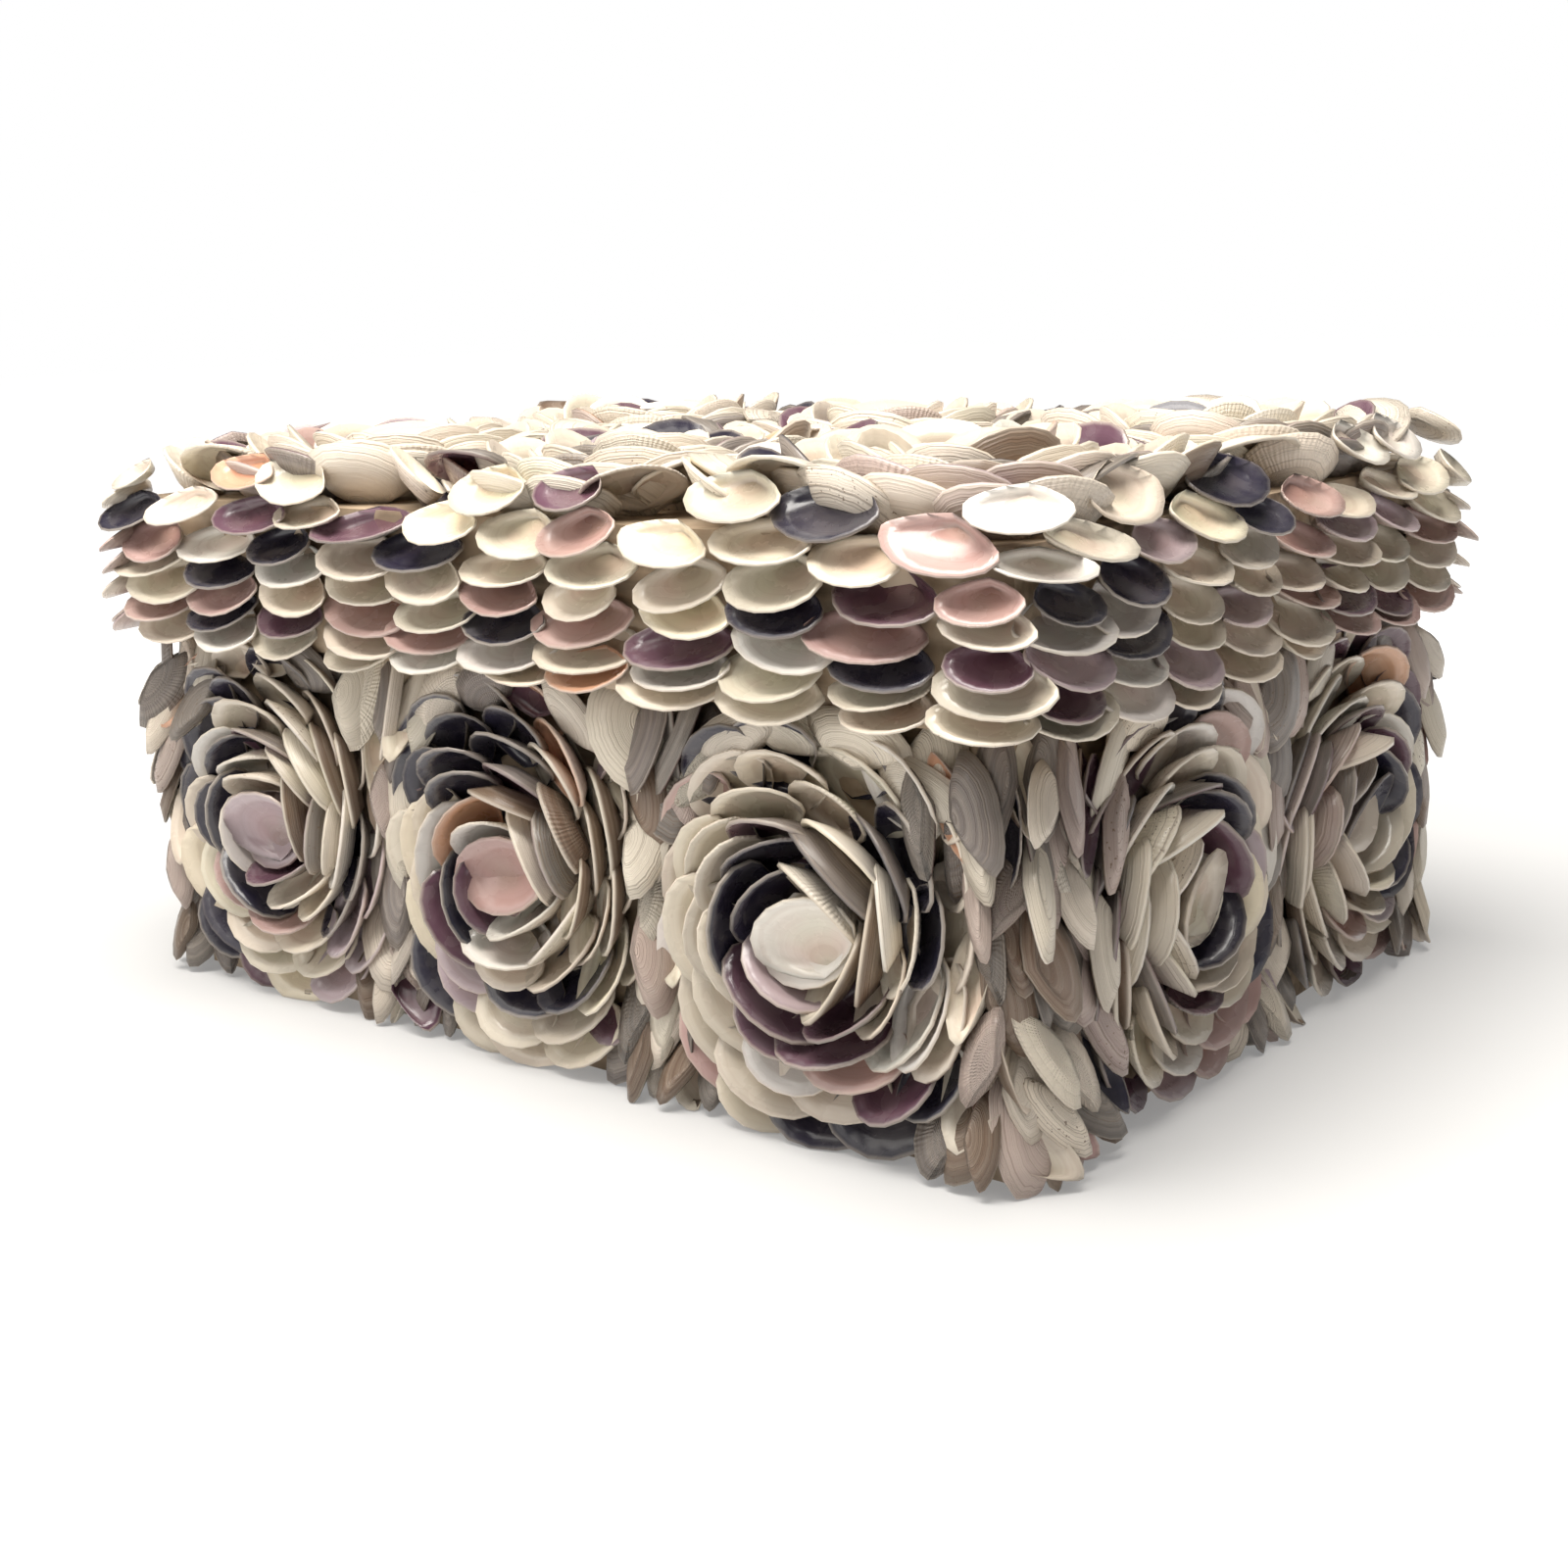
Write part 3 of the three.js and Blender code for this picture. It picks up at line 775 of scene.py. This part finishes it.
# Kinds of the rim's shells near places along a side, in millimetres from its middle towards +X or +Y: the
# collar, the cup, then the stack below it from the top down.
RIM_KINDS = {
    "front": (
        (-144, "ivory navy ivory ivory blush ivory ivory"),
        (-124, "ivory ivory blush ivory ivory blush ivory"),
        (-97, "peach mauve pearl navy blush navy pearl"),
        (-71, "ivory ivory navy pearl ivory mauve ivory"),
        (-43, "ivory mauve ivory ivory blush ivory ivory"),
        (-18, "ivory butter navy ivory ivory blush pearl"),
        (9, "butter ivory ivory blush navy pearl ivory"),
        (37, "mauve blush ivory ivory blush ivory peach"),
        (63, "ivory butter ivory butter mauve pearl ivory"),
        (90, "navy ivory ivory navy pearl ivory ivory"),
        (114, "butter butter mauve blush navy ivory ivory"),
        (138, "pearl blush blush ivory mauve ivory ivory"),
    ),
    "right": (
        (-108, "navy pearl navy pearl lilac mauve ivory"),
        (-85, "ivory ivory lilac pearl pearl mauve ivory"),
        (-62, "ivory lilac navy pearl navy pearl pearl"),
        (-38, "ivory butter ivory ivory ivory lilac ivory"),
        (-15, "navy navy ivory butter lilac ivory ivory"),
        (15, "lilac blush blush ivory blush ivory ivory"),
        (45, "pearl ivory lilac ivory ivory mauve blush"),
        (80, "pearl ivory ivory blush ivory ivory blush"),
    ),
}


def rim_kind(at, level):
    """The kind of the rim's shell at a place and a level, counted from the collar down, where one is set."""
    side = rim_side(at)
    if side not in RIM_KINDS:
        return None
    run = 1000 * (at.x if side == "front" else at.y)
    nearest = min(RIM_KINDS[side], key=lambda entry: abs(entry[0] - run))
    return nearest[1].split()[level]


def rim_side(at):
    """The side of the lid that a point of the rim belongs to."""
    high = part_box("lid")[1]
    past_x = abs(at.x) - high.x
    past_y = abs(at.y) - high.y
    if past_y > past_x:
        return "front" if at.y < 0 else "back"
    return "right" if at.x > 0 else "left"


# How the rim's shells differ from one to the next. Angles are in degrees, lengths in metres.
RIM_LEAN = 6
RIM_ROLL = 13
RIM_RISE = 0.0008
RIM_SHIFT = 0.0026
RIM_OUT = (-0.0008, 0.0006)
RIM_SIZES = (0.90, 1.08)
CORNER_SIZE = 0.86  # size of the shells that turn a corner of the lid

# Where each kind of row starts, as a share of one step, and how its shells are stretched.
SCALE_PHASE = 0.184
CUP_PHASE = 0.8
COLLAR_PHASE = 0.3
SCALE_STRETCH = (1.10, 0.90, 0.78)
SCALE_SHORTER = 0.015  # how much shorter each scale is than the one below it
HALF_STRETCH = (1.05, 0.90, 0.78)
CUP_STRETCH = (1.06, 0.82, 0.76)
COLLAR_STRETCH = (1.0, 0.92, 0.80)

STACK = 5  # scales in a stack
STACK_GAP = 0.0006  # height of the lowest scales over the lid's lower edge
LOW_PITCH = 0.97  # pitch of the stacks that start low, as a share of the set one
HIGH_PITCH = 1.05  # and of those that start half a step higher
HALF_TILT = 3  # how much flatter the odd shell under a high stack lies, in degrees
CUP_STEP = 0.0020  # every other cup lies this much higher
COLLAR_UNEVEN = (-0.001, 0.0015)


def lay_rims():
    """Stacks of nested shells round the lid, every other one half a step higher, under a row of open cups."""
    s = settings()
    lays = {side: Lay("rim_" + side) for side in ("front", "right", "back", "left")}
    low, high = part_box("lid")
    path = rim_path(s.layout.rim_reach)
    total = sum((b - a).length for a, b in zip(path, path[1:] + path[:1]))
    step = s.layout.scale_pitch

    def lay_one(at, away, height, slope, stretch, level):
        lay = lays[rim_side(at)]
        chance = lay.chance
        outward = Vector((away.x, away.y, 0))
        along = UP.cross(outward)
        lean = slope + math.radians(chance.uniform(-RIM_LEAN, RIM_LEAN))
        edge = outward * math.sin(lean) - UP * math.cos(lean)
        hollow = outward * math.cos(lean) + UP * math.sin(lean)
        roll = along * math.sin(math.radians(chance.uniform(-RIM_ROLL, RIM_ROLL)))
        place = Vector((at.x, at.y, height + chance.uniform(-RIM_RISE, RIM_RISE)))
        place += along * chance.uniform(-RIM_SHIFT, RIM_SHIFT) + outward * chance.uniform(*RIM_OUT)
        turning = min(abs(away.x), abs(away.y)) > 0.1
        size = (CORNER_SIZE if turning else 1.0) * chance.uniform(*RIM_SIZES)
        shape = chance.choice(ROUNDED if turning else PLUMP)
        lay.add(place, edge + roll, hollow, size, rim_kind(at, level), shape, stretch)

    bottom = low.z + STACK_GAP
    wide, long, deep = SCALE_STRETCH
    count = 2 * round(total / s.layout.scale_width / 2)
    for i, (at, away) in enumerate(spaced(path, count, SCALE_PHASE)):
        if i % 2:
            rows = [bottom + (k + 0.5) * HIGH_PITCH * step for k in range(STACK - 1)]
            tilt = s.layout.scale_tilt + math.radians(HALF_TILT)
            lay_one(at, away, bottom, tilt, HALF_STRETCH, STACK + 1)
        else:
            rows = [bottom + k * LOW_PITCH * step for k in range(STACK)]
        for k, height in enumerate(rows):
            stretch = (wide, long - SCALE_SHORTER * k, deep)
            lay_one(at, away, height, s.layout.scale_tilt, stretch, len(rows) + 1 - k)
    cups = round(total / s.layout.cup_width)
    for i, (at, away) in enumerate(spaced(path, cups, CUP_PHASE)):
        height = high.z - s.layout.cup_drop + CUP_STEP * (i % 2)
        lay_one(at, away, height, s.layout.cup_tilt, CUP_STRETCH, 1)
    luck = random.Random(s.shell.seed)
    for at, away in spaced(rim_path(s.layout.collar_reach), cups, COLLAR_PHASE):
        if luck.random() < s.layout.collar_share:
            height = high.z + s.layout.collar_rise + luck.uniform(*COLLAR_UNEVEN)
            lay_one(at, away, height, s.layout.collar_tilt, COLLAR_STRETCH, 0)
    for lay in lays.values():
        finish_piece(lay, "violet_shell")


# The hanging shells: their kinds, and how common each is.
HANG_KINDS = {"ivory": 15, "pearl": 11, "brown": 17, "blush": 12, "lilac": 12, "mauve": 15, "navy": 18}
HANG_LEAN = 9  # in degrees: how much more or less than its neighbours one stands out
HANG_YAW = 48  # in degrees: how far one may face to a side
HANG_BACKS = 0.7  # share of them that show their backs
HANG_SIZES = (0.88, 1.16)
HANG_WIDTHS = (0.52, 0.84)  # their width, as a share of a shell's height
HANG_DEPTH = 0.66  # their depth, as a share of a shell's own


def hang(lay, middle, out, sway, rise, yaw_spread=HANG_YAW, size=None, narrow=None, kind=None, inside=None):
    """A slender shell that hangs by one end of its long axis, its foot standing out, the lowest ones most.

    Its middle lies at middle and it swings by sway from upright. rise is its height, from -1 at the foot of
    the wall to 1 at the top. What is None of its size, width, kind and side that shows is left to chance."""
    chance = lay.chance
    layout = settings().layout
    low_share = max(0.0, -rise) ** 3
    lean = math.radians(chance.uniform(-HANG_LEAN, HANG_LEAN))
    tilt = layout.hang_tilt + layout.hang_flare * low_share + lean
    yaw = Matrix.Rotation(math.radians(chance.uniform(-yaw_spread, yaw_spread)), 3, UP)
    face = yaw @ out
    down = -UP * math.cos(tilt) + face * math.sin(tilt)
    hollow = face * math.cos(tilt) + UP * math.sin(tilt)
    if inside is None:
        inside = chance.random() >= HANG_BACKS
    if not inside:
        hollow = -hollow
    flip = 1 if chance.random() < 0.5 else -1
    swing = Matrix.Rotation(sway, 3, out)
    edge = swing @ (hollow.cross(down) * flip)
    size = size or chance.uniform(*HANG_SIZES)
    narrow = narrow or chance.uniform(*HANG_WIDTHS)
    tip = middle + edge * settings().shell.height * size * narrow * 0.5
    shape = chance.choice(SLIM)
    kind = kind or chance.choices(list(HANG_KINDS), list(HANG_KINDS.values()))[0]
    lay.add(tip, edge, swing @ hollow, size, kind=kind, shape=shape, stretch=(1.0, narrow, HANG_DEPTH))


def rose_middle(node):
    low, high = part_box(node)
    return (low + high) / 2


def beside_rose(rise, stand_off):
    """Width left between a rose and a line stand_off from its middle. rise runs from -1 at its foot to 1 at its
    top."""
    low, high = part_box("rose_front_1")
    edge = (high.x - low.x) / 2 * max(0.0, 1 - abs(rise) ** WALL_SQUARENESS) ** (1 / WALL_SQUARENESS)
    return stand_off - edge


# How the rows of hanging shells fill a wall's height, in metres.
ROW_END = 0.008  # room that the row nearest to each end takes up
TOP_GAP = 0.010  # from the top of the wall to the middle of its first row
BOTTOM_GAP = 0.011
CLOSE_PITCH = 0.85  # pitch of the rows of the close bed on the wood, as a share of the set one
CLOSE_WIDTH = 0.8  # and the distance between its shells
NARROWEST = 0.002  # least distance to which shells reach to a side, in metres

STRIP_CLOSE = 0.0030  # height of the close bed over the wood
STRIP_OVER = 0.0058  # and of the larger shells over it
STRIP_OVER_TUCK = -0.001  # those stop short of the roses
STRIP_REACH = 0.024
STRIP_SHIFT = 0.0015
STRIP_SWAY = 20  # in degrees
STRIP_FAN = 14  # radians of sway for each metre from the middle, most at the top and the foot
STRIP_STEP = 0.0012  # every other row lies this much deeper
STRIP_SLOPE = 0.06  # how the bed falls away to its sides


def lay_strip(node, side):
    """A close bed of slender shells on the wood, and larger ones loosely over it."""
    lay = Lay(node)
    ground = Ground(node, side)
    s = settings().layout
    mine = rose_middle("rose_" + side + node[-2:])
    stand_off = abs((mine - ground.centre).dot(ground.along))
    span = 2 * (ground.half_height - (TOP_GAP + BOTTOM_GAP) / 2)
    beds = (
        (STRIP_CLOSE, CLOSE_PITCH * s.hang_pitch, CLOSE_WIDTH * s.hang_width, s.hang_tuck),
        (STRIP_OVER, s.hang_pitch, s.hang_width, STRIP_OVER_TUCK),
    )
    for out, pitch, width, tuck in beds:
        rows = int(2 * (ground.half_height - ROW_END) / pitch) + 1
        for k in range(rows):
            y = ground.half_height - TOP_GAP - k * span / (rows - 1)
            rise = y / ground.half_height
            half = max(NARROWEST, min(beside_rose(rise, stand_off) + tuck, STRIP_REACH))
            count = max(1, round(2 * half / width))
            for i in range(count):
                x = (2 * (i + 0.5) / count - 1) * half + lay.chance.uniform(-STRIP_SHIFT, STRIP_SHIFT)
                sway = math.radians(lay.chance.uniform(-STRIP_SWAY, STRIP_SWAY)) - STRIP_FAN * x * rise
                middle = ground.point(x, y, out - STRIP_STEP * (k % 2) - STRIP_SLOPE * abs(x))
                hang(lay, middle, ground.out, sway, rise)
    finish_piece(lay, "grey_shell")


# Shells on the outside of a corner: how far round it they lie from its middle, below zero on the front or back
# wall and above zero on the side wall, their height, their lean, their length, their width, their kind, and
# whether the hollow shows. Lengths are in millimetres, the lean in degrees.
CORNER_SHELLS = (
    (-22, 80, -33, 28, 10, "mauve", False),
    (-15, 83, -29, 26, 9, "peach", True),
    (-8, 75, -31, 25, 9, "ivory", False),
    (-8, 83, -34, 27, 11, "navy", False),
    (-9, 63, -27, 24, 9, "blush", False),
    (-11, 46, -6, 26, 10, "ivory", True),
    (-7, 31, 16, 24, 9, "blush", False),
    (-7, 13, -7, 22, 8, "brown", False),
    (6, 84, 38, 21, 9, "pearl", False),
    (17, 84, 12, 25, 10, "lilac", False),
    (10, 50, -7, 29, 16, "brown", False),
    (5, 66, 25, 28, 11, "pearl", False),
    (18, 61, -5, 24, 10, "ivory", False),
    (19, 24, -23, 25, 10, "ivory", False),
    (7, 29, -23, 26, 11, "pearl", False),
    (5, 10, -48, 24, 10, "ivory", True),
    (14, 11, -50, 26, 11, "blush", True),
    (9, 16, -37, 27, 11, "ivory", False),
    (24, 13, -42, 25, 10, "navy", False),
    (26, 78, 38, 26, 11, "mauve", True),
    (36, 72, 30, 28, 11, "lilac", False),
    (28, 48, 4, 28, 11, "ivory", False),
    (30, 28, -31, 23, 10, "blush", False),
    (34, 18, -22, 22, 9, "navy", True),
)


CLOSE_ROUND = 0.0035  # radius at which the corner's close bed turns
OVER_ROUND = 0.0080  # and the larger shells over it
CORNER_REACH = 0.028
CORNER_SLACK = 0.016  # how far past its reach a larger shell may still lie
CORNER_SWAY = 22  # in degrees
CORNER_YAW = 30
OVER_SWAY = 3
OVER_YAW = 8
CORNER_SHIFT = 0.25  # every other row starts this share of a step further


def lay_corner(node):
    """Hanging shells wrapped round an upright corner of the box: a close bed, and larger shells over it."""
    lay = Lay(node)
    s = settings()
    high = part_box("box")[1]
    mine = rose_middle(node)
    sign_x = 1 if mine.x > 0 else -1
    sign_y = 1 if mine.y > 0 else -1
    corner = Vector((sign_x * high.x, sign_y * high.y, 0))
    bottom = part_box(node)[0].z
    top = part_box(node)[1].z
    wall_x = "front" if sign_y < 0 else "back"
    wall_y = "right" if sign_x > 0 else "left"
    rose_x = max(sign_x * rose_middle(f"rose_{wall_x}_{i}").x for i in (1, 3))
    rose_y = max(sign_y * rose_middle(f"rose_{wall_y}_{i}").y for i in (1, 2))
    half_height = (top - bottom) / 2

    def legs(rise):
        """How far the corner's shells reach along the two walls at a height."""
        wide = [beside_rose(rise, far) + s.layout.hang_tuck for far in (high.x - rose_x, high.y - rose_y)]
        return [max(NARROWEST, min(v, CORNER_REACH)) for v in wide]

    def wrap(run, radius):
        """A place and its outward direction, run metres round the corner from its middle."""
        half_arc = radius * math.pi / 4
        turn = max(0.0, min((run + half_arc) / radius, math.pi / 2))
        out = Vector((sign_x * math.sin(turn), sign_y * math.cos(turn), 0))
        past_x = max(0.0, -run - half_arc)
        past_y = max(0.0, run - half_arc)
        return corner + out * radius - Vector((sign_x * past_x, sign_y * past_y, 0)), out

    arc = CLOSE_ROUND * math.pi / 2
    rows = int((top - bottom - 2 * ROW_END) / (CLOSE_PITCH * s.layout.hang_pitch)) + 1
    for k in range(rows):
        z = top - TOP_GAP - k * (top - bottom - (TOP_GAP + BOTTOM_GAP)) / (rows - 1)
        rise = (z - bottom) / half_height - 1
        leg_x, leg_y = legs(rise)
        total = leg_x + arc + leg_y
        count = max(2, round(total / (CLOSE_WIDTH * s.layout.hang_width)))
        for i in range(count):
            run = (i + 0.5 + CORNER_SHIFT * (k % 2)) / (count + CORNER_SHIFT) * total - leg_x - arc / 2
            at, out = wrap(run, CLOSE_ROUND)
            sway = math.radians(lay.chance.uniform(-CORNER_SWAY, CORNER_SWAY))
            hang(lay, Vector((at.x, at.y, z)), out, sway, rise, CORNER_YAW)
    for run_mm, z_mm, lean, length_mm, width_mm, kind, inside in CORNER_SHELLS:
        z = z_mm / 1000
        rise = (z - bottom) / half_height - 1
        leg_x, leg_y = legs(rise)
        if -leg_x - CORNER_SLACK < run_mm / 1000 < leg_y + CORNER_SLACK:
            at, out = wrap(run_mm / 1000, OVER_ROUND)
            sway = math.radians(lean + lay.chance.uniform(-OVER_SWAY, OVER_SWAY)) * sign_x * sign_y
            size = length_mm / 1000 / s.shell.width
            narrow = width_mm / length_mm * s.shell.width / s.shell.height
            hang(lay, Vector((at.x, at.y, z)), out, sway, rise, OVER_YAW, size, narrow, kind, inside)
    finish_piece(lay, "grey_shell")


# ---- Operators ----


class SHELLBOX_OT_stock(bpy.types.Operator):
    """Make the shells that are laid, their material and the tree that lays them"""

    bl_idname = "shellbox.stock"
    bl_label = "Make the stock of shells"

    def execute(self, context):
        collection = bpy.data.collections.new("shells")
        collection.use_fake_user = True
        for shape in SHAPES:
            shell_prototype(shape, collection)
        shell_material()
        shell_tree()
        return {"FINISHED"}


class SHELLBOX_OT_boards(bpy.types.Operator):
    """Give the boards of the box and its lid their wood"""

    bl_idname = "shellbox.boards"
    bl_label = "Finish the boards"

    def execute(self, context):
        wood = board_material()
        for node in ("box", "lid"):
            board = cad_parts[node]
            board.data.materials.clear()
            board.data.materials.append(wood)
        return {"FINISHED"}


class SHELLBOX_OT_roses(bpy.types.Operator):
    """Lay the shell roses on the walls and on the lid"""

    bl_idname = "shellbox.roses"
    bl_label = "Lay the roses"

    def execute(self, context):
        for node in sorted(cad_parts):
            if node.startswith("rose_"):
                lay_rose(node, node.split("_")[1])
        return {"FINISHED"}


class SHELLBOX_OT_rims(bpy.types.Operator):
    """Lay the rows of shells round the lid"""

    bl_idname = "shellbox.rims"
    bl_label = "Lay the rim"

    def execute(self, context):
        lay_rims()
        return {"FINISHED"}


class SHELLBOX_OT_strips(bpy.types.Operator):
    """Lay the hanging shells between the roses and round the corners"""

    bl_idname = "shellbox.strips"
    bl_label = "Lay the strips and corners"

    def execute(self, context):
        for node in sorted(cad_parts):
            if node.startswith("strip_"):
                lay_strip(node, node.split("_")[1])
            elif node.startswith("corner_"):
                lay_corner(node)
        return {"FINISHED"}


class SHELLBOX_OT_stage(bpy.types.Operator):
    """Set up the floor, the lights and the camera"""

    bl_idname = "shellbox.stage"
    bl_label = "Set up the stage"

    def execute(self, context):
        s = settings().stage
        scene = context.scene
        scene.view_settings.view_transform = "Standard"
        add_floor(s)
        add_light("top", (0.04, -0.20, 1.10), 0.8, s.top_power)
        add_light("key", (-0.32, -0.62, 1.05), 0.9, s.key_power)
        add_light("fill", (-0.60, -1.20, 0.45), 0.8, s.fill_power)
        add_sky(s)
        add_camera(s)
        return {"FINISHED"}


def add_floor(s):
    """A pale table top that fades into white further off."""
    half = 6
    mesh = bpy.data.meshes.new("floor")
    corners = [(-half, -half, 0), (half, -half, 0), (half, half, 0), (-half, half, 0)]
    mesh.from_pydata(corners, [], [(0, 1, 2, 3)])
    floor = bpy.data.objects.new("floor", mesh)
    shader = Shader("floor")
    place = shader.place()
    shade = tuple(0.985 * v for v in s.floor_shade)
    speck = shader.mix(shader.ramp(shader.noise(9, 3, at=place), 0.3, 0.7), s.floor_shade, shade)
    away = add_node(shader.tree, "ShaderNodeVectorMath", {0: place}, operation="LENGTH").outputs["Value"]
    glow = shader.ramp(away, 0.15, 0.7, 0.25 * s.floor_glow, s.floor_glow)
    mesh.materials.append(
        shader.finish(Base_Color=speck, Roughness=0.6, Emission_Color=(1, 1, 1, 1), Emission_Strength=glow)
    )
    bpy.context.scene.collection.objects.link(floor)


def add_light(name, place, size, power):
    """A warm square lamp, aimed at the middle of the box."""
    warm_white = (1.0, 0.965, 0.91)
    middle = Vector((0, 0, 0.08))
    lamp = bpy.data.lights.new(name, "AREA")
    lamp.size = size
    lamp.energy = power
    lamp.color = warm_white
    light = bpy.data.objects.new(name, lamp)
    light.location = place
    aim = middle - Vector(place)
    light.rotation_euler = aim.to_track_quat("-Z", "Y").to_euler()
    bpy.context.scene.collection.objects.link(light)


def add_sky(s):
    """Soft light from all round, and plain white where the camera looks past the floor."""
    world = bpy.data.worlds.new("sky")
    world.use_nodes = True
    tree = world.node_tree
    lit = tree.nodes["Background"]
    lit.inputs["Color"].default_value = (1.0, 0.975, 0.94, 1)
    lit.inputs["Strength"].default_value = s.sky
    shown = add_node(tree, "ShaderNodeBackground", {"Color": (1, 1, 1, 1), "Strength": 1.0})
    seen = add_node(tree, "ShaderNodeLightPath").outputs["Is Camera Ray"]
    both = add_node(tree, "ShaderNodeMixShader", {0: seen, 1: lit.outputs[0], 2: shown.outputs[0]})
    tree.links.new(both.outputs[0], tree.nodes["World Output"].inputs["Surface"])
    bpy.context.scene.world = world


def add_camera(s):
    """A camera turned by its heading, then its pitch, then its lean."""
    data = bpy.data.cameras.new("camera")
    data.lens = s.lens
    data.sensor_width = 36
    camera = bpy.data.objects.new("camera", data)
    yaw, pitch, roll = s.camera_yaw, s.camera_pitch, s.camera_roll
    look = Vector((math.sin(yaw) * math.cos(pitch), math.cos(yaw) * math.cos(pitch), -math.sin(pitch)))
    right = Vector((math.cos(yaw), -math.sin(yaw), 0))
    up = right.cross(look)
    leaned_right = right * math.cos(roll) + up * math.sin(roll)
    leaned_up = up * math.cos(roll) - right * math.sin(roll)
    turn = Matrix((leaned_right, leaned_up, -look)).transposed()
    camera.matrix_world = Matrix.Translation(Vector(s.camera_place)) @ turn.to_4x4()
    bpy.context.scene.collection.objects.link(camera)
    bpy.context.scene.camera = camera


class SHELLBOX_PT_panel(bpy.types.Panel):
    """Settings and steps of the shell box"""

    bl_label = "Shell box"
    bl_idname = "SHELLBOX_PT_panel"
    bl_space_type = "VIEW_3D"
    bl_region_type = "UI"
    bl_category = "Shell box"

    def draw(self, context):
        s = context.scene.shell_box
        for group in (s.shell, s.colours, s.layout, s.stage):
            box = self.layout.box()
            for name in group.__annotations__:
                box.prop(group, name)
        for operator in OPERATORS:
            self.layout.operator(operator.bl_idname)


OPERATORS = (
    SHELLBOX_OT_stock,
    SHELLBOX_OT_boards,
    SHELLBOX_OT_roses,
    SHELLBOX_OT_rims,
    SHELLBOX_OT_strips,
    SHELLBOX_OT_stage,
)
CLASSES = (
    ShellSettings,
    ColourSettings,
    LayoutSettings,
    StageSettings,
    ShellBoxSettings,
    *OPERATORS,
    SHELLBOX_PT_panel,
)


def register():
    for cls in CLASSES:
        bpy.utils.register_class(cls)
    bpy.types.Scene.shell_box = bpy.props.PointerProperty(type=ShellBoxSettings)


def unregister():
    del bpy.types.Scene.shell_box
    for cls in reversed(CLASSES):
        bpy.utils.unregister_class(cls)


def main():
    register()
    bpy.ops.shellbox.stock()
    bpy.ops.shellbox.boards()
    bpy.ops.shellbox.roses()
    bpy.ops.shellbox.rims()
    bpy.ops.shellbox.strips()
    bpy.ops.shellbox.stage()


if __name__ == "__main__":
    main()
